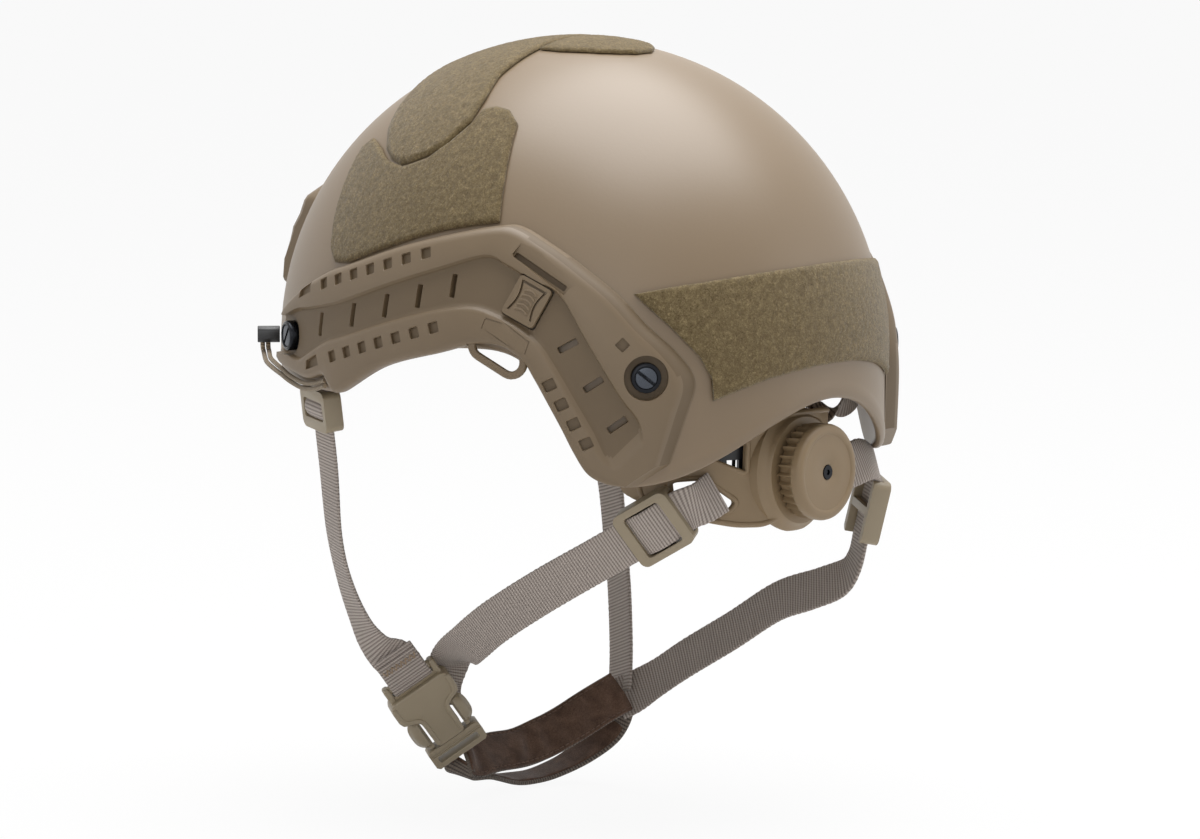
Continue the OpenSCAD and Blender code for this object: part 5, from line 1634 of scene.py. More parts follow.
@dataclass
class FitSystem:
    """Nape yoke, dial, headband strips and nape pad."""

    centre_y: float = 57.0
    yoke_r: float = 60.0
    yoke_t: float = 2.6
    drop: float = 46.0
    dial_r: float = 20.5
    dial_depth: float = 13.0
    teeth: int = 30
    shaft_hole: float = 4.08
    hub_hole: float = 4.02
    # Depth of the grip notches, and points round the rim for each tooth
    notch: float = 2.3
    per_tooth: int = 12
    # Radius of the headband's inner face, and the gap in front of the nape cushion
    cushion_r: float = 45.9
    cushion_gap: float = 0.3
    # Headband: section, path radii of the rack and of the middle, offset of the rack and the half width
    band: tuple[float, float, float] = (18.0, 1.4, 0.35)
    rack_r: float = 47.1
    band_r: float = 50.8
    rack_offset: float = 8.7
    half_width: float = 91.6
    # Radius of the rims round the openings, and of the one round the yoke
    rim_r: tuple[float, float] = (1.25, 1.3)
    edge: tuple = (
        (0, -22), (24, -23), (40, -25.5), (49, -30), (55, -39), (57, -48), (56.5, -56), (52, -60.5),
        (42, -64.5),
        (32, -67), (20, -67.5), (10, -64), (0, -63),
    )
    cut_upper: tuple = ((27, -31), (46, -36.5), (27.5, -46))
    cut_lower: tuple = ((51.5, -47.5), (43, -46.5), (31, -57.5), (34.5, -62), (51, -55))

    @property
    def boss_y(self) -> float:
        """Returns where the dial's boss ends."""
        return self.centre_y + self.yoke_r + 2

    def build(self) -> None:
        """Builds the pieces that show."""
        self.yoke()
        self.dial()
        self.headband(False)
        self.headband(True)

        def point(u: float, v: float, depth: float) -> Array:
            a = math.radians(u * 27 * (1 - 0.06 * v * v))
            r = self.cushion_r - self.cushion_gap - depth
            return vec(
                r * math.sin(a), self.centre_y + r * math.cos(a), -self.drop + v * 15 * (1 - 0.06 * u * u)
            )

        Cushion(
            "cushion_nape", "nape_pad", "pad_cover", point, 6.0, rows=24, columns=16, side=1.5, bulge_cap=1.0
        ).build()

    def wrap(self, x: float, z: float, r: float) -> Array:
        """Returns a point on the yoke's cylinder."""
        return vec(x, self.centre_y + math.sqrt(max(0.0, r * r - x * x)), z)

    def rounded(self, corners: Route, reach: float) -> Outline:
        """Returns an outline whose corners are rounded off over a reach."""
        pts = [np.array(c, dtype=float) for c in corners]
        out = []
        for i, p in enumerate(pts):
            a, b = pts[i - 1], pts[(i + 1) % len(pts)]
            r = min(reach, np.linalg.norm(a - p) / 2.1, np.linalg.norm(b - p) / 2.1)
            s, e = p + unit(a - p) * r, p + unit(b - p) * r
            for t in np.linspace(0, 1, 6):
                out.append(tuple((1 - t) ** 2 * s + 2 * t * (1 - t) * p + t * t * e))
        return out

    def yoke(self) -> Piece:
        """Builds the yoke: the sheet with its openings, a rim round each edge, and the boss."""
        half = [np.array(p, dtype=float) for p in self.edge]
        outline = self.rounded(half + [np.array([-p[0], p[1]]) for p in half[::-1]][1:-1], 3.5)
        sheet = self.sheet(outline)
        cuts, rims = [], []
        for s in (1, -1):
            for corners in (self.cut_upper, self.cut_lower):
                line = self.rounded([(s * x, z) for x, z in corners], 2.2)
                cuts.append(self.mould("opening", line))
                rims.append(self.rim(line, self.rim_r[0]))
        rims.append(self.rim(outline, self.rim_r[1]))
        carve(sheet, cuts)
        boss = self.boss()
        r = self.shaft_hole + 10
        carve(sheet, [self.bore("hole", r, self.centre_y + 40, self.boss_y + 1, 48)])
        for part in (sheet, boss):
            smooth(part, 32)
        piece = join("nape_yoke_moulding", [sheet, boss] + rims)
        return place_piece(piece, "helmet", "rail_polymer", "nape_yoke")

    def mould(self, name: str, line: Outline) -> Piece:
        """Stands an outline in x and z up towards the rear, through the yoke."""
        return prism(name, REAR_VIEW, [(x, -z) for x, z in line], 60, 140, Finish.YOKE)

    def bore(self, name: str, r: float, start: float, end: float, n: int) -> Piece:
        """Returns a cylinder on the dial's axis."""
        return turned(name, self.dial_seat(), [(r, start), (r, end)], Finish.YOKE, n)

    def sheet(self, outline: Outline) -> Piece:
        """Builds the curved sheet, trimmed to its outline."""
        xs, zs = np.linspace(-58, 58, 117), np.linspace(-69, -20, 26)
        radii = (self.yoke_r, self.yoke_r - self.yoke_t)
        upper, lower = (np.array([[self.wrap(x, z, r) for z in zs] for x in xs]) for r in radii)
        sheet = closed_grid("sheet", upper, lower, Finish.YOKE)
        mould = self.mould("mould", outline)
        change = sheet.modifiers.new("trim", "BOOLEAN")
        change.operation = "INTERSECT"
        change.solver = "EXACT"
        change.object = mould
        apply_modifiers(sheet)
        bpy.data.objects.remove(mould)
        return sheet

    def boss(self) -> Piece:
        """Builds the boss under the dial, hollowed for the gear."""
        y0, r, top = self.centre_y + 50, self.dial_r + 2.6, self.boss_y
        profile = [
            (r + 4.5, y0), (r + 3.4, top - 4.6), (r + 1.4, top - 3.2), (r + 0.3, top - 1.8), (r, top - 0.6),
            (r - 0.5, top), (14.4, top), (14, top - 0.4),
        ]
        boss = turned("boss", self.dial_seat(), profile, Finish.YOKE, 96)
        inner = self.bore("inner", 14, top - 2.6, top + 1, 64)
        shaft = self.bore("bore", self.shaft_hole, self.centre_y, top + 1, 32)
        wall = self.yoke_r - self.yoke_t + 0.3
        upright = Seat(vec(0, self.centre_y, -100), vec(1, 0, 0), vec(0, 0, 1))
        tube = turned("tube", upright, [(wall, 0), (wall, 100)], Finish.YOKE, 128)
        for tool in (inner, shaft, tube):
            carve(boss, [tool])
        return boss

    def rim(self, line: Route, r: float) -> Piece:
        """Builds a half-sunk bead along an outline on the yoke's outer face."""
        loop = np.array([self.wrap(x, z, self.yoke_r - 0.35) for x, z in list(line) + [line[0]]])
        loop = evenly(loop, 1.0)[:-1]
        looks = np.array([unit([p[0], p[1] - self.centre_y, 0]) for p in loop])
        run = np.roll(loop, -1, axis=0) - np.roll(loop, 1, axis=0)
        run /= np.linalg.norm(run, axis=1)[:, None]
        across = np.cross(run, looks)
        return swept("rim", loop, across, looks, steady(oval(r, 0.85 * r, 10)), Finish.YOKE, closed=True)

    def dial_seat(self) -> Seat:
        """Returns the dial's axis, with z towards the rear."""
        return Seat(vec(0, 0, -self.drop), vec(1, 0, 0), vec(0, 1, 0))

    def dial(self) -> Piece:
        """Builds the dial: wedge-shaped grip notches behind a plain rounded shoulder and a dished face."""
        r0, y0, y1 = self.dial_r, self.boss_y + 0.4, self.boss_y + 0.4 + self.dial_depth
        # Radius, depth and how deep the notches are there
        rows = [
            (8, y0 + 9.4, 0), (r0 - 4, y0 + 9.4, 0), (r0 - 4, y0, 0), (r0 - 1.9, y0, 1.0),
            (r0 - 0.9, y0 + 0.3, 1.0),
            (r0 - 0.5, y0 + 1.2, 1.0), (r0 - 0.15, y0 + 3.4, 1.0), (r0, y0 + 5.4, 0.9), (r0, y0 + 6.6, 0.62),
            (r0, y0 + 7.6, 0.25), (r0, y0 + 8.2, 0.0), (r0, y1 - 2.4, 0), (r0 - 0.3, y1 - 1.3, 0),
            (r0 - 1.0, y1 - 0.5, 0),
            (r0 - 2.0, y1 - 0.1, 0), (r0 - 3.2, y1, 0), (r0 - 3.9, y1 - 0.25, 0), (r0 - 4.4, y1 - 0.7, 0),
            (r0 - 9.2, y1 - 0.75, 0),
            (3.7, y1 - 0.5, 0), (3.2, y1 - 0.8, 0), (3.2, y1 - 1.9, 0), (1.3, y1 - 1.9, 0),
        ]
        per = self.per_tooth
        n = self.teeth * per
        seat = self.dial_seat()
        points = []
        for r, y, notch in rows:
            for k in range(n):
                share = abs(((k % per) / per) - 0.5) * 2
                cut = notch * self.notch * ease((1 - share) * 1.9)
                q = 2 * math.pi * k / n
                points.append(((r - cut) * math.cos(q), (r - cut) * math.sin(q), y))
        cap = mesh_piece("cap", seat.at(points), bands(len(rows), n), Finish.YOKE)
        smooth(cap, 34)
        hub = turned(
            "hub",
            seat,
            [(self.hub_hole, y0 - 2.6), (7.6, y0 - 2.6), (8.0, y0 - 2.2), (8.0, y0 + 9.5)],
            Finish.YOKE,
            48,
        )
        carve(
            hub, [turned("bore", seat, [(self.hub_hole, y0 - 4), (self.hub_hole, y0 + 9.0)], Finish.YOKE, 32)]
        )
        piece = join("fit_dial", [cap, hub])
        return place_piece(piece, "dial", "rail_polymer", "dial_knob")

    def headband(self, mirrored: bool) -> Piece:
        """Builds one springy headband strip with rounded edges and a raised rib along each."""
        s = -1 if mirrored else 1
        ring, mid, rack = self.rack_r, self.band_r, -self.drop + s * self.rack_offset
        rows = [(a, ring, rack) for a in range(32, 69, 9)] + [
            (76, mid, rack + 0.35 * (-34 - rack)), (84, mid, -31)
        ]
        route = [
            [r * math.sin(math.radians(a)), self.centre_y + r * math.cos(math.radians(a)), z]
            for a, r, z in rows
        ]
        x = self.half_width
        route += [
            [62, 52, -17], [x - 22, 42, -2], [x - 16, 30, 11], [x - 9, 17, 18], [x - 3, 3, 19],
            [x + 4, -22, 15], [x + 4, -45, 10],
        ]
        route += [[x + 1, -60, 8], [x - 1, -70, 7]]
        looks = [
            unit([p[0], 0.8 * (p[1] - self.centre_y if p[1] > self.centre_y else p[1]), 0]) for p in route
        ]
        word = "right" if mirrored else "left"
        piece = ribbon("strip", route, looks, lambda s, t: strip_section(*self.band), Finish.BAND)
        if mirrored:
            mirror_piece(piece)
        piece = join(f"headband_strip_{word}", [piece])
        return place_piece(piece, "helmet", "black_polymer", f"headband_{word}")


def strip_section(width: float, thick: float, rib: float = 0.0, crown: float = 0.0, n: int = 8) -> Outline:
    """Returns a flat strip's section with rounded edges.

    Args:
        width: Full width.
        thick: Full thickness.
        rib: Height of a rib along each edge of the face.
        crown: Rise of the middle of the face.
        n: Points across each side.
    """
    half, e = width / 2, thick / 2
    out = []
    for k in range(n + 1):
        v = 2 * k / n - 1
        out.append((v * (half - e), e + crown * (1 - v * v) + (rib if abs(v) > 0.7 else 0.0)))
    out += [(half - e + e * math.cos(q), e * math.sin(q)) for q in np.linspace(math.pi / 3, -math.pi / 3, 4)]
    for k in range(n + 1):
        v = 1 - 2 * k / n
        out.append((v * (half - e), -e + crown * (1 - v * v)))
    out += [(-half + e - e * math.cos(q), e * math.sin(q)) for q in np.linspace(-math.pi / 3, math.pi / 3, 4)]
    return out


def path_rows(route: Route, looks: Route, step: float) -> tuple[Array, Array, Array]:
    """Returns even points of a route with its width and thickness directions."""
    rows = np.hstack([np.array(route, dtype=float), np.array([unit(f) for f in looks])])
    rows = evenly(spline(rows, 1.5), step)
    across, facing = frames_along(rows[:, :3], rows[:, 3:])
    return rows[:, :3], across, facing


def ribbon(
    name: str, route: Route, looks: Route, section: Section, finish: Finish, step: float = 1.5
) -> Piece:
    """Sweeps a strip along a route whose face looks along the given directions."""
    centre, across, facing = path_rows(route, looks, step)
    return swept(name, centre, across, facing, section, finish)


def stitches(points: Array, lift: Array, length: float, gap: float, finish: Finish, r: float = 0.32) -> Piece:
    """Lays a row of thread stitches along a path.

    Args:
        points: Path points, close together.
        lift: Direction away from the cloth at each point.
        length: Length of a stitch.
        gap: Space between stitches.
        finish: What the thread is made of.
        r: Thread radius.
    """
    along = distances(points)
    at = lambda rows, s: np.array([np.interp(s, along, rows[:, k]) for k in range(3)])
    parts = []
    s = gap
    while s + length < along[-1]:
        share = np.linspace(0, 1, 5)
        centre = np.array(
            [
                at(points, s + length * t) + at(lift, s + length * t) * r * (
                    1.2 * math.sin(math.pi * t) - 0.5
                )
                for t in share
            ]
        )
        across, facing = frames_along(centre, np.array([at(lift, s + length * t) for t in share]))
        parts.append(swept("stitch", centre, across, facing, steady(oval(r, r, 5)), finish))
        s += length + gap
    return join("stitches", parts)


# Harness


@dataclass(frozen=True)
class StrapLine:
    """One stretch of webbing: its route, the way its face looks, and what it rides on."""

    name: str
    node: str
    route: tuple
    looks: tuple
    finish: Finish
    width: float = 19.0
    thick: float = 1.5
    # Places on the lower end near the plug, or None: when given, the stretch is baked in place on no body
    follow: tuple | None = None

    def build(self) -> Piece:
        """Builds the stretch."""
        section = lambda s, t: strip_section(self.width + 0.25 * math.sin(s * 1.9), self.thick, 0, 0.12)
        piece = ribbon(self.name, self.route, self.looks, section, self.finish)
        if self.follow:
            tuple(c * MM for c in self.follow[0])
            tuple(c * MM for c in self.follow[1])
            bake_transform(piece)
            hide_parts(self.node)
            log.info("%s bends between helmet and plug", piece.name)
            return piece
        return place_piece(piece, "helmet", "webbing", self.node)


@dataclass
class Slider:
    """A strap slider: a rounded frame over the webbing, which bulges up over the middle bar."""

    name: str
    node: str
    body: str
    seat: Seat
    finish: Finish = Finish.WEB
    length: float = 28.0
    web: float = 19.0
    bar: float = 3.0
    gap: float = 1.05
    # Length of the frame's two end bars together
    ends: float = 9.6
    # Lowest and highest middle of the webbing over the bar
    lift: tuple[float, float] = (0.9, 3.6)

    def slab(self, name: str, outline: Outline, low: float, high: float) -> Piece:
        """Returns an outline on the slider's plane, given thickness."""
        return prism(name, self.seat, outline, low, high, Finish.BUCKLE)

    def build(self) -> None:
        """Builds the frame and the webbing over its middle bar."""
        wide = self.web + 1 + 2 * self.bar
        low, high = self.gap, self.gap + self.bar
        frame_piece = self.slab("frame", box_outline(self.length, wide, 3.4, steps=6), -high, high)
        window = box_outline(self.length - self.ends, self.web + 1, 1.6)
        under = box_outline(self.length + 4, self.web + 1, 0.3)
        carve(
            frame_piece,
            [self.slab("window", window, -high - 1, high + 1), self.slab("under", under, -high - 1, low)],
        )
        round_edges(frame_piece, 0.9, 3)
        middle = self.slab("bar", box_outline(self.bar + 0.6, self.web + 1.6, 0.2), -high, -low)
        round_edges(middle, 0.8, 3)
        piece = join(self.name, [frame_piece, middle])
        place_piece(piece, self.body, "buckle_polymer", self.node)
        span = self.length / 2 - 4.4
        xs = np.linspace(-span, span, 25)
        rise = self.lift[1] - self.lift[0]
        lift = [self.lift[0] + rise * math.sin(math.pi * (x + span) / (2 * span)) ** 0.8 for x in xs]
        centre = self.seat.at([(x, 0, z) for x, z in zip(xs, lift)])
        _, _, up = self.seat.axes()
        across, facing = frames_along(centre, up)
        fold = swept(
            f"{self.name}_webbing",
            centre,
            across,
            facing,
            lambda s, t: strip_section(self.web - 0.6, 1.5, 0, 0.15),
            self.finish,
        )
        place_piece(fold, self.body, "webbing")


def seat_on(place: Sequence[float], along: Sequence[float], look: Sequence[float]) -> Seat:
    """Returns a seat whose x runs along a strap and whose z is the strap's face."""
    return Seat(np.array(place, dtype=float), unit(along), np.array(look, dtype=float))


@dataclass
class Harness:
    """All straps and sliders."""

    shape: ShellShape = SHELL
    rail: SideRail = field(default_factory=lambda: SideRail(False))
    front_slider: float = 18.0
    rear_slider: float = 28.0
    anchor_web: float = -7.35
    slot_drop: float = 15.0

    def anchor(self, bolt: tuple[float, float], height: float, drop: float) -> Array:
        """Returns a point below a bolt, at a height off the shell."""
        p = self.shape.side(*bolt, 0)
        d = self.shape.outward(vec(p[0], p[1], 0))
        return vec(p[0] + height * d[0], p[1] + height * d[1], bolt[1] - drop)

    def on_yoke(self, x: float, z: float, r: float) -> Array:
        """Returns a point on a cylinder about the yoke's axis."""
        return vec(x, FitSystem.centre_y + math.sqrt(r * r - x * x), z)

    def build(self) -> None:
        """Builds the straps, then the sliders."""
        b = BUCKLE
        front, rear = self.rail.bolts
        top_left = self.anchor(front, self.anchor_web, self.slot_drop)
        top_right = vec(-top_left[0], top_left[1], top_left[2])
        half = self.front_slider / 2
        dirs = {
            "fl": unit([-0.15, 0.017, -0.988]), "fr": unit([0.118, 0.244, -0.963]),
            "rl": unit([0.168, -0.849, -0.5]), "rr": unit([0.08, -0.22, -0.97]),
        }
        looks = {
            "fl": vec(0.885, -0.465, 0), "fr": vec(-0.885, -0.42, 0), "rl": vec(0.865, 0.3, -0.3),
            "rr": vec(-0.775, 0.56, -0.1),
        }
        slides = {
            "fl": top_left + (half + 8) * dirs["fl"], "fr": top_right + (half + 8) * dirs["fr"],
            "rl": vec(57, 84, -67), "rr": vec(-78, 95, -71.8),
        }
        fold = [
            self.anchor(rear, self.anchor_web, self.slot_drop),
            self.anchor(rear, self.anchor_web - 0.8, 21),
            vec(64.2, 91, -27),
        ]
        fold += [
            self.on_yoke(50.5, -31.4, 56.4), self.on_yoke(44, -37.5, 56.9), self.on_yoke(37.5, -42.5, 56.9)
        ]
        fold_looks = [
            (0.69, 0.72, 0), (0.69, 0.72, 0), (0.75, 0.65, 0), (0.89, 0.46, 0), (0.78, 0.62, 0),
            (0.66, 0.75, 0),
        ]
        far = (-0.935, 0.35, 0)
        low = (-0.9, 0.15, -0.35)
        lines = [
            StrapLine(
                "webbing_yoke_left", "yoke_strap_left", tuple(fold), tuple(fold_looks), Finish.WEB, 16, 1.2
            ),
            StrapLine(
                "webbing_yoke_right", "yoke_strap_right", tuple(flip(fold)), tuple(flip(fold_looks)),
                Finish.WEB_DARK, 16, 1.2,
            ),
            StrapLine(
                "webbing_front_left", "front_strap_left",
                (
                    top_left, slides["fl"] - half * dirs["fl"], slides["fl"] + 24 * dirs["fl"],
                    (84.2, -68.6, -80), (78.7, -66.7, -102), (73.2, -62.1, -120), (69.6, -57, -129.5),
                    b.place - 9.6 * b.along, b.place - 5.6 * b.along,
                ),
                (
                    looks["fl"], looks["fl"], looks["fl"], (0.85, -0.53, 0), (0.86, -0.51, 0),
                    (0.92, -0.4, 0), (0.96, -0.1, -0.2), (0.7, 0.68, -0.2), b.look,
                ),
                Finish.WEB,
            ),
            StrapLine(
                "webbing_front_right", "front_strap_right",
                (
                    top_right, slides["fr"] - half * dirs["fr"], slides["fr"] + 24 * dirs["fr"],
                    (-87.5, -53.5, -68), (-83, -46.5, -97), (-77, -39.5, -120), (-70.5, -33.5, -143),
                    (-66.5, -30.8, -156), (-64.5, -30, -162),
                ),
                (looks["fr"], looks["fr"], looks["fr"], (-0.97, 0.26, 0), far, far, far, far, far),
                Finish.WEB_DARK,
                follow=((-84, -48, -90), (-69, -32, -150)),
            ),
            StrapLine(
                "webbing_rear_left", "rear_strap_left",
                (
                    self.on_yoke(39.5, -52.5, 61.15), (47, 101.2, -56.4), slides["rl"] - 15 * dirs["rl"],
                    slides["rl"] - 3 * dirs["rl"], slides["rl"] + 13 * dirs["rl"],
                    slides["rl"] + 31 * dirs["rl"], (65.5, 30, -98.2), (65.5, 4, -113.7), (58.5, -17, -126.5),
                    (48.5, -31.5, -133), (38.7, -42.8, -138.9), (37.7, -48, -148.5), (37.3, -48.8, -157.6),
                ),
                (
                    (0.65, 0.76, 0.05), (0.72, 0.66, -0.15), looks["rl"], looks["rl"], looks["rl"],
                    looks["rl"], (0.92, 0, -0.35), (0.93, -0.05, -0.35), (0.9, 0.2, -0.35),
                    (0.75, 0.55, -0.3), b.look, b.look, b.look,
                ),
                Finish.WEB,
            ),
            StrapLine(
                "webbing_rear_right", "rear_strap_right",
                (
                    self.on_yoke(40, -52.5, 61.15) * vec(-1, 1, 1),
                    (-53, 103, -51.2),
                    (-65, 102.5, -49.2),
                    (-73.5, 101, -51),
                    slides["rr"] - 16 * dirs["rr"],
                    slides["rr"] - 2 * dirs["rr"],
                    slides["rr"] + 12 * dirs["rr"],
                    slides["rr"] + 24 * dirs["rr"],
                    (-75.4, 84, -103),
                    (-74.3, 70, -109),
                    (-73.5, 50, -116.2),
                    (-71.5, 27, -130.7),
                    (-69, 4, -144.5),
                    (-67, -11, -154.5),
                    (-64.5, -22, -161.5),
                    (-61, -28.5, -165),
                ),
                (
                    (-0.6, 0.79, 0.05), (-0.3, 0.93, 0.2), (-0.3, 0.85, 0.4), (-0.6, 0.72, 0.3), looks["rr"],
                    looks["rr"], looks["rr"], looks["rr"], (-0.8, 0.5, -0.2), (-0.85, 0.35, -0.3), low, low,
                    low, low, (-0.8, -0.3, -0.35), (-0.6, -0.6, -0.4),
                ),
                Finish.WEB_DARK,
                follow=((-74, 60, -112), (-67, -8, -152)),
            ),
        ]
        for line in lines:
            line.build()
        for key, word, body in (
            ("fl", "front_left", "front_left_slider"), ("fr", "front_right", "front_right_slider"),
            ("rl", "rear_left", "rear_left_slider"), ("rr", "rear_right", "rear_right_slider"),
        ):
            finish = Finish.WEB if key.endswith("l") else Finish.WEB_DARK
            length = self.front_slider if key.startswith("f") else self.rear_slider
            Slider(
                f"strap_slider_{word}", f"slider_{word}", body, seat_on(slides[key], dirs[key], looks[key]),
                finish, length,
            ).build()


@dataclass(frozen=True)
class BuckleShape:
    """Side-release buckle on its own axis: socket, plug, two press prongs and the sewn fold."""

    place: Array = field(default_factory=lambda: vec(58, -49, -143))
    along: Array = field(default_factory=lambda: unit([-0.594, 0.184, -0.783]))
    look: Array = field(default_factory=lambda: vec(0.578, 0.775, -0.255))
    width: float = 30.0
    thick: float = 10.0
    start: float = 6.0
    end: float = 34.0
    web: float = 19.0
    prong_y: float = 8.2
    # Half length, half width and rise of a press pad, and the height of the ridge along it
    pad: tuple[float, float, float] = (7.9, 4.7, 4.4)
    pad_ridge: float = 0.75
    # Middles of the press pad and of the prong's stem, from the start of the socket
    pad_x: float = 19.6
    stem_x: float = 19.7
    # Radii of the bead round each side window
    border: tuple[float, float] = (1.15, 0.9)
    fold_t: float = 1.35
    zigzags: int = 15

    def seat(self) -> Seat:
        """Returns the buckle's seat."""
        return Seat(self.place, self.along, self.look)

    def slab(self, name: str, outline: Outline, low: float, high: float) -> Piece:
        """Returns an outline on the buckle's plane, given thickness."""
        return prism(name, self.seat(), outline, low, high, Finish.BUCKLE)

    def build(self) -> None:
        """Builds all its pieces."""
        self.socket()
        self.plug()
        for s, word in ((-1, "front"), (1, "rear")):
            self.prong(s, word)
        self.fold()

    def socket(self) -> None:
        """Builds the socket with its lugs, hollow and the raised border of each side window."""
        seat, w, t = self.seat(), self.width / 2, self.thick / 2
        outline = [
            (4.8, -w + 4), (5.6, -w + 1.4), (8, -w), (14, -w), (16.4, -w + 0.8), (17.4, -w + 3), (17.8, -8.6),
            (19, -7),
        ]
        outline += [(self.end - 1.2, -7), (self.end, -5.8)]
        outline = outline + [(x, -y) for x, y in outline[::-1]]
        body = self.slab("body", outline, -t, t)
        round_edges(body, 1.7, 4, 25)
        carve(body, [self.slab("hollow", box_outline(24, self.width - 6, 0.5, x=24), -3, 3)])
        neck = self.slab("neck", box_outline(6, self.width - 6.5, 1.0, x=6), -2, 2)
        end = [(0.4, w - 2.4), (1.6, w - 2.6), (2.0, w - 3.4)]
        across_seat = Seat(seat.place, seat.axes()[2], seat.axes()[1])
        bar = turned("bar", across_seat, [(r, -y) for r, y in end] + end[::-1], Finish.BUCKLE, 24)
        parts = [body, neck, bar]
        for s in (-1, 1):
            arm = self.slab("arm", box_outline(8.4, 3.0, 1.2, x=2.2, y=s * (w - 3.4)), -2.6, 2.6)
            round_edges(arm, 1.0, 3)
            parts.append(arm)
            line = [
                (7, w - 1.6, 0.5), (13.2, w - 1.7, 0.3), (15.9, w - 3.4, 0.2), (17.2, 8.4, 0.15),
                (19.6, 6.3, 0.1), (26, 6.0, 0.1),
                (self.end - 1.6, 5.9, 0.3),
            ]
            centre = evenly(spline(seat.at([(x, s * y, t - sunk) for x, y, sunk in line]), 1.0), 0.8)
            across, facing = frames_along(centre, seat.axes()[2])
            parts.append(
                swept("border", centre, across, facing, steady(oval(*self.border, 12)), Finish.BUCKLE)
            )
        place_piece(join("buckle_socket_moulding", parts), "helmet", "buckle_polymer", "buckle_socket")

    def plug(self) -> None:
        """Builds the plug with its webbing slot."""
        e, w = self.end, self.width / 2 - 2
        side = [(e + 9.9, w - 1.2), (e + 8.6, w), (e + 1.4, w), (e + 0.4, w - 1)]
        body = self.slab("body", [(x, -y) for x, y in side[::-1]] + side, -3.6, 3.6)
        carve(body, [
            self.slab("slot", box_outline(3, 20.4, 0.8, x=e + 5.9), -9, 9),
            self.slab("groove", box_outline(1.2, 2 * w + 4, 0.2, x=e + 3.1), 2.9, 9),
        ])
        round_edges(body, 0.9, 3)
        tongue = self.slab("tongue", box_outline(17, 12, 1.5, x=self.start + 20.4), -2.5, 2.5)
        round_edges(tongue, 0.6)
        place_piece(join("buckle_plug_moulding", [body, tongue]), "plug", "buckle_polymer", "buckle_plug")

    def prong(self, s: int, word: str) -> None:
        """Builds one prong with its oval, ridged press pad."""
        seat = self.seat()
        stem = self.slab(
            "stem",
            box_outline(16.2, 2.2, 0.8, x=self.start + self.stem_x, y=s * (self.prong_y + 1.1)),
            -2.5,
            2.5,
        )
        n, m = 33, 17
        long, wide, height = self.pad
        upper, lower = np.zeros((n, m, 3)), np.zeros((n, m, 3))
        for i in range(n):
            for j in range(m):
                u, v = 2 * i / (n - 1) - 1, 2 * j / (m - 1) - 1
                x, z = u * math.sqrt(1 - v * v / 2) * long, v * math.sqrt(1 - u * u / 2) * wide
                q = min(1.0, (x / long) ** 2 + (z / wide) ** 2)
                rise = height * (1 - q**1.5) ** 0.6 + self.pad_ridge * math.exp(
                    -((z / 0.8) ** 2)
                ) * (1 - q) ** 0.3
                upper[i, j] = (self.start + self.pad_x + x, s * (self.prong_y + 1.3 + rise), z)
                lower[i, j] = (self.start + self.pad_x + x, s * (self.prong_y + 1.0), z)
        faces = (seat.at(side.reshape(-1, 3)).reshape(n, m, 3) for side in (upper, lower))
        pad = closed_grid("pad", *faces, Finish.BUCKLE)
        smooth(pad, 60)
        piece = join(f"buckle_prong_{word}_moulding", [stem, pad])
        place_piece(piece, f"prong_{word}", "buckle_polymer", f"buckle_prong_{word}")

    def fold(self) -> None:
        """Builds the webbing folded round the bar and sewn back on itself."""
        seat = self.seat()
        _, y, z = seat.axes()
        turn = [(3.4 * math.cos(q) + 0.2, 0, 3.0 * math.sin(q)) for q in np.linspace(1.35, -1.35, 12)]
        line = [
            (-15.2, 0, 2.0), (-10, 0, 2.5), (-4, 0, 3.0)
        ] + turn + [(-4, 0, -2.9), (-9, 0, -2.2), (-13, 0, -1.6)]
        centre = evenly(seat.at(line), 0.8)
        run = np.gradient(centre, axis=0)
        facing = np.cross(y, run)
        facing = -facing / np.linalg.norm(facing, axis=1)[:, None]
        section = lambda a, b: strip_section(self.web, self.fold_t, 0, 0.05)
        wrap = swept("wrap", centre, *frames_along(centre, facing), section, Finish.WEB)
        second = evenly(seat.at([(-12.6, 0, 3.4), (-8, 0, 3.8), (-3.4, 0, 4.2), (-1.6, 0, 4.1)]), 0.8)
        thinner = lambda a, b: strip_section(self.web - 0.4, self.fold_t * 0.9, 0, 0.05)
        flap = swept("flap", second, *frames_along(second, z), thinner, Finish.WEB)
        last = self.zigzags - 1
        zigzag = [
            (-9.6 + (1.5 if k % 2 else -1.5), -8.2 + 16.4 * k / last, 4.55) for k in range(self.zigzags)
        ]
        thread = evenly(seat.at(zigzag), 0.5)
        sewn = stitches(thread, np.tile(z, (len(thread), 1)), 2.4, 0.25, Finish.THREAD, 0.3)
        piece = join("buckle_webbing_fold", [wrap, flap, sewn])
        place_piece(piece, "helmet", "webbing", "buckle_web")


BUCKLE = BuckleShape()


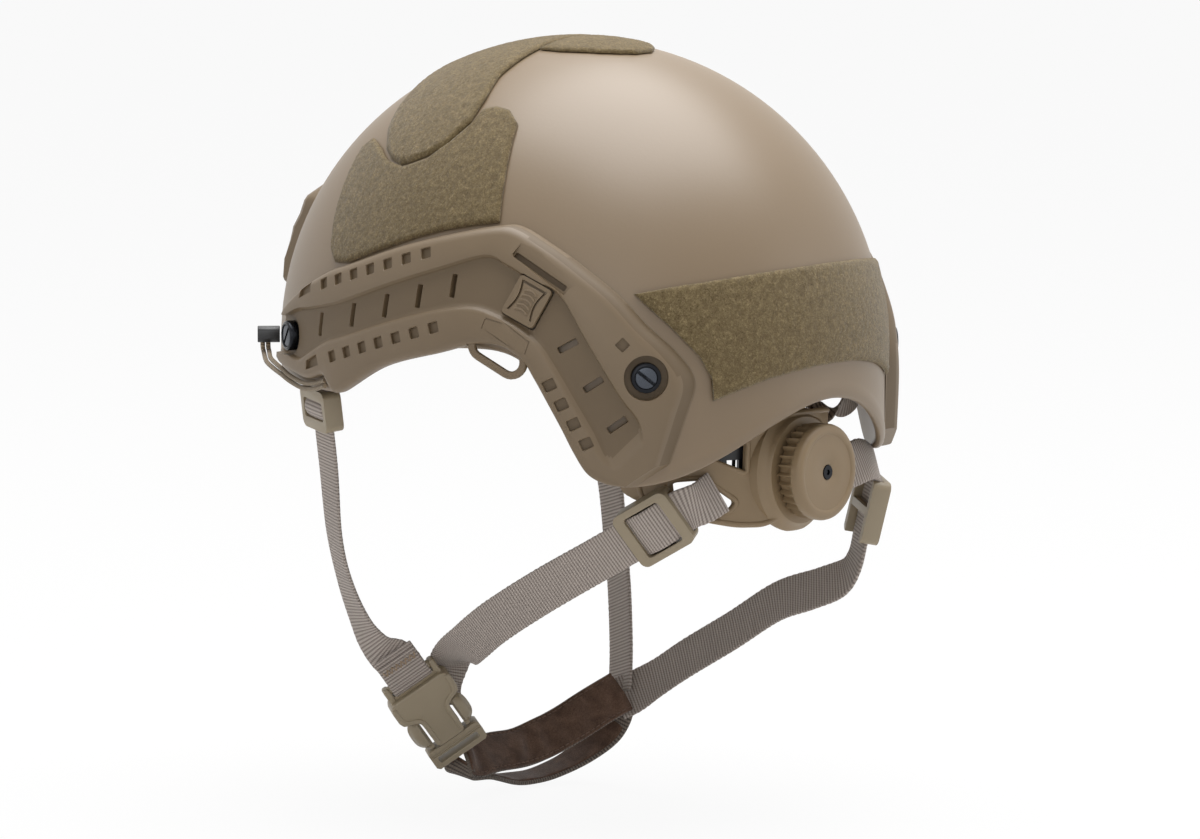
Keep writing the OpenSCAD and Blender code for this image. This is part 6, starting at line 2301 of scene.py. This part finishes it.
@dataclass
class ChinCup:
    """The suede upper band on its webbing, and the ribbed lower band."""

    width: float = 18.5
    start: Array = field(default_factory=lambda: BUCKLE.place + 47.8 * BUCKLE.along)
    columns: int = 27
    # Share of the half width where the hem's seam runs
    seam: float = 0.83
    lower_width: float = 15.0
    lower_thick: float = 2.0

    def build(self) -> None:
        """Builds both bands."""
        s = self.start
        route = [
            s + vec(0, -0.6, 0.8), s + vec(-8, -2, -1.4), (8, -43.2, -181.2), (-12, -42, -180.8),
            (-32, -37, -175), (-48, -30.5, -166.8), (-60.3, -25.5, -160.9),
        ]
        looks = [
            (0.3, 0.75, 0.55), (0.25, 0.78, 0.6), (0.15, 0.78, 0.6), (0.1, 0.78, 0.6), (0.15, 0.78, 0.55),
            (0.25, 0.8, 0.5), (0.3, 0.8, 0.45),
        ]
        self.suede(route, looks)
        low = [
            s + vec(0.2, -2.2, -2.4), s + vec(-1.2, -4.6, -7.8), (10, -48.5, -191.5), (-9, -50.5, -196),
            (-22, -49.5, -197), (-35, -46.5, -195.5), (-49, -40.5, -189.5), (-58.5, -34, -181),
            (-62, -30.5, -173.5), (-62, -27.8, -166),
        ]
        low_looks = [
            (-0.9, 0.1, 0.3), (-0.5, 0.1, 0.8), (0.1, 0.1, 1), (0.1, 0.12, 1), (0, 0.12, 1), (0.1, 0.12, 1),
            (0.35, 0.2, 0.9), (0.6, 0.3, 0.6), (0.85, 0.35, 0.3), (0.95, 0.3, 0.05),
        ]
        band = ribbon(
            "band",
            low,
            low_looks,
            lambda a, t: strip_section(self.lower_width, self.lower_thick, 0, 0.1),
            Finish.CHIN_WEB,
        )
        lining = ribbon(
            "lining",
            np.array(low) + vec(0.1, 0.15, 1.15),
            low_looks,
            lambda a, t: strip_section(self.lower_width - 2, 1.0 + 0.35 * math.sin(a / 2.7), 0, 0.25),
            Finish.SUEDE,
        )
        place_piece(join("chin_band_lower", [band, lining]), "plug", "chin_webbing", "chin_cup_lower")

    def suede(self, route: Route, looks: Route) -> None:
        """Builds the suede band with hems, wrinkles and stitching, on a strip of webbing."""
        centre, across, facing = path_rows(route, looks, 1.0)
        n, m = len(centre), self.columns
        along = distances(centre)
        upper, lower = np.zeros((n, m, 3)), np.zeros((n, m, 3))
        half = self.width / 2
        for i in range(n):
            a = along[i]
            ends = ease(i / 4) * ease((n - 1 - i) / 4)
            wave = math.sin(a / 2.3 + 1.9 * math.sin(a / 9.0)) * 0.5 + math.sin(a / 4.9 + 0.7) * 0.45
            for j in range(m):
                v = 2 * j / (m - 1) - 1
                slant = math.sin((a + 5 * v) / 2.6 + 1.3 * math.sin(a / 7.0 + v)) * 0.35
                fill = 1 - v**4
                hem = -0.55 * bump_at(abs(v), self.seam, 0.07) - 0.4 * (1 - ends)
                h = 1.05 + 0.7 * (1 - v * v) + (wave * 0.42 + slant) * fill + hem - 0.45 * (
                    1 - ease((1 - abs(v)) / 0.05)
                )
                w = half * (1 + 0.012 * math.sin(a / 3.7))
                upper[i, j] = centre[i] + across[i] * v * w + facing[i] * h
                lower[i, j] = centre[i] + across[i] * v * w + facing[i] * (0.35 + 0.7 * (1 - v * v))
        face = closed_grid("face", upper, lower, Finish.SUEDE)
        smooth(face, 80)
        back = swept(
            "back",
            centre - facing * 0.55,
            across,
            facing,
            lambda a, t: strip_section(self.width + 0.4, 1.5, 0, 0.7),
            Finish.CHIN_WEB,
        )
        parts = [face, back]
        for side in (-self.seam, self.seam):
            j = int(round((side + 1) / 2 * (m - 1)))
            parts.append(stitches(upper[:, j] + facing * 0.15, facing, 2.0, 0.9, Finish.THREAD_DARK, 0.28))
        place_piece(join("chin_band_upper", parts), "plug", "suede", "chin_cup_upper")


# Studio


def seen_rays(tree: bpy.types.NodeTree) -> bpy.types.NodeSocket:
    """Returns a value of one for rays from the camera and for reflected and see-through ones."""
    path = add_node(tree, "ShaderNodeLightPath")
    two = add_node(
        tree,
        "ShaderNodeMath",
        {"operation": "MAXIMUM"},
        {0: path.outputs["Is Camera Ray"], 1: path.outputs["Is Glossy Ray"]},
    )
    return add_node(
        tree,
        "ShaderNodeMath",
        {"operation": "MAXIMUM"},
        {0: two.outputs[0], 1: path.outputs["Is Transmission Ray"]},
    ).outputs[0]


@dataclass
class Studio:
    """Camera, soft light and a plain pale floor."""

    scale: float = 2.33
    centre_px: tuple[float, float] = (582.0, 342.0)
    azimuth: float = 128.0
    elevation: float = 7.0
    distance: float = 4.5
    floor_z: float = -0.2005

    def directions(self) -> tuple[Array, Array, Array]:
        """Returns the directions from the helmet to the camera, to the right and up."""
        a, e = math.radians(self.azimuth), math.radians(self.elevation)
        c = vec(math.sin(a) * math.cos(e), -math.cos(a) * math.cos(e), math.sin(e))
        r = vec(math.cos(a), math.sin(a), 0)
        return c, r, np.cross(c, r)

    def build(self) -> None:
        """Builds the stage."""
        self.camera()
        self.floor()
        self.lights()
        view = bpy.context.scene.view_settings
        view.view_transform = "Standard"
        view.look = "None"

    def camera(self) -> None:
        """Puts the camera at the photograph's angle."""
        c, r, u = self.directions()
        right = (600 - self.centre_px[0]) / self.scale
        up = (self.centre_px[1] - 419.5) / self.scale
        target = (r * right + u * up) * MM
        data = bpy.data.cameras.new("camera")
        data.sensor_width = 36.0
        data.lens = 36.0 * self.distance / (1200 / self.scale * MM)
        data.clip_end = 100
        camera = bpy.data.objects.new("camera", data)
        camera.matrix_world = Matrix(
            [[r[k], u[k], c[k], target[k] + c[k] * self.distance] for k in range(3)] + [[0, 0, 0, 1]]
        )
        bpy.context.scene.collection.objects.link(camera)
        bpy.context.scene.camera = camera

    def floor(self) -> None:
        """Lays a pale floor that the camera sees almost white, with a faint shadow."""
        mesh = bpy.data.meshes.new("floor")
        e = 4.0
        mesh.from_pydata(
            [(-e, -e, self.floor_z), (e, -e, self.floor_z), (e, e, self.floor_z), (-e, e, self.floor_z)],
            [],
            [(0, 1, 2, 3)],
        )
        floor = bpy.data.objects.new("floor", mesh)
        bpy.context.scene.collection.objects.link(floor)
        material, tree, output = blank_material("pale studio floor")
        matt = add_node(tree, "ShaderNodeBsdfDiffuse", {"Color": (0.8, 0.79, 0.78, 1)})
        glow = add_node(tree, "ShaderNodeEmission", {"Color": (1, 1, 1, 1), "Strength": 1.0})
        share = add_node(tree, "ShaderNodeMath", {"operation": "MULTIPLY", 1: 0.93}, {0: seen_rays(tree)})
        both = add_node(
            tree, "ShaderNodeMixShader", {}, {"Fac": share.outputs[0], 1: matt.outputs[0], 2: glow.outputs[0]}
        )
        # Seen from below the floor is clear, so that the inside of the helmet can be looked at
        clear = add_node(tree, "ShaderNodeBsdfTransparent")
        side = add_node(tree, "ShaderNodeNewGeometry").outputs["Backfacing"]
        facing = add_node(
            tree, "ShaderNodeMixShader", {}, {"Fac": side, 1: both.outputs[0], 2: clear.outputs[0]}
        )
        tree.links.new(facing.outputs[0], output.inputs["Surface"])
        mesh.materials.append(material)

    def lights(self) -> None:
        """Lights the helmet from above and all round, as in a light tent."""
        world = bpy.data.worlds.new("tent")
        world.use_nodes = True
        tree = world.node_tree
        tree.nodes.clear()
        soft = add_node(tree, "ShaderNodeBackground", {"Color": (0.95, 0.97, 1.0, 1), "Strength": 0.27})
        white = add_node(tree, "ShaderNodeBackground", {"Color": (1, 1, 1, 1), "Strength": 1.0})
        pick = add_node(
            tree, "ShaderNodeMixShader", {}, {"Fac": seen_rays(tree), 1: soft.outputs[0], 2: white.outputs[0]}
        )
        output = add_node(tree, "ShaderNodeOutputWorld")
        tree.links.new(pick.outputs[0], output.inputs["Surface"])
        bpy.context.scene.world = world
        c, r, u = self.directions()
        self.area("key", u * 1.55 + r * 0.2, 1.7, 44.0)
        self.area("left", c * 0.4 - r * 1.6 + u * 0.3, 1.0, 1.5)
        self.area("right", c * 0.1 + r * 1.7 + u * 0.3, 1.0, 2.5)
        self.area("front", c * 2.4 + u * 0.45 - r * 0.3, 1.6, 7.5)

    def area(self, name: str, place: Array, size: float, power: float) -> None:
        """Adds one soft box that looks at the helmet."""
        data = bpy.data.lights.new(name, "AREA")
        data.size = size
        data.energy = power
        lamp = bpy.data.objects.new(name, data)
        lamp.location = Vector(place)
        lamp.rotation_euler = Vector(place).to_track_quat("Z", "Y").to_euler()
        bpy.context.scene.collection.objects.link(lamp)


KEPT_NODES = {
    Finish.GUNMETAL: ("bolt_nuts", "bracket_nuts", "strap_anchors"),
    Finish.BOLT: ("bracket_screws", "cover_screws", "dial_screw"),
    Finish.BLACK: ("gear_cover", "rack_left", "rack_right"),
    Finish.GEAR: ("dial_pinion",),
    Finish.STEEL: ("click_spring",),
    Finish.HOOK: ("hook_discs",),
}


def dress_kept_nodes() -> None:
    """Gives the CAD nodes that stay their finish."""
    for kind, names in KEPT_NODES.items():
        for name in names:
            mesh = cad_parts[name].data
            mesh.materials.clear()
            mesh.materials.append(finish_of(kind))
            log.info("%s keeps its CAD shape, in %s", name, kind.value.name)


def main() -> None:
    """Builds the whole helmet and its studio."""
    left = SideRail(False)
    Studio().build()
    Shell().build()
    LoopPanels().build()
    for mirrored in (False, True):
        rail = SideRail(mirrored)
        rail.build()
        LockTab(mirrored, left).build()
        LanyardLoop(mirrored, left).build()
    RailBolts(left).build()
    FrontBracket().build()
    BungeeCords().build()
    Harness().build()
    BUCKLE.build()
    ChinCup().build()
    FitSystem().build()
    Pads().build()
    dress_kept_nodes()


if __name__ == "__main__":
    main()
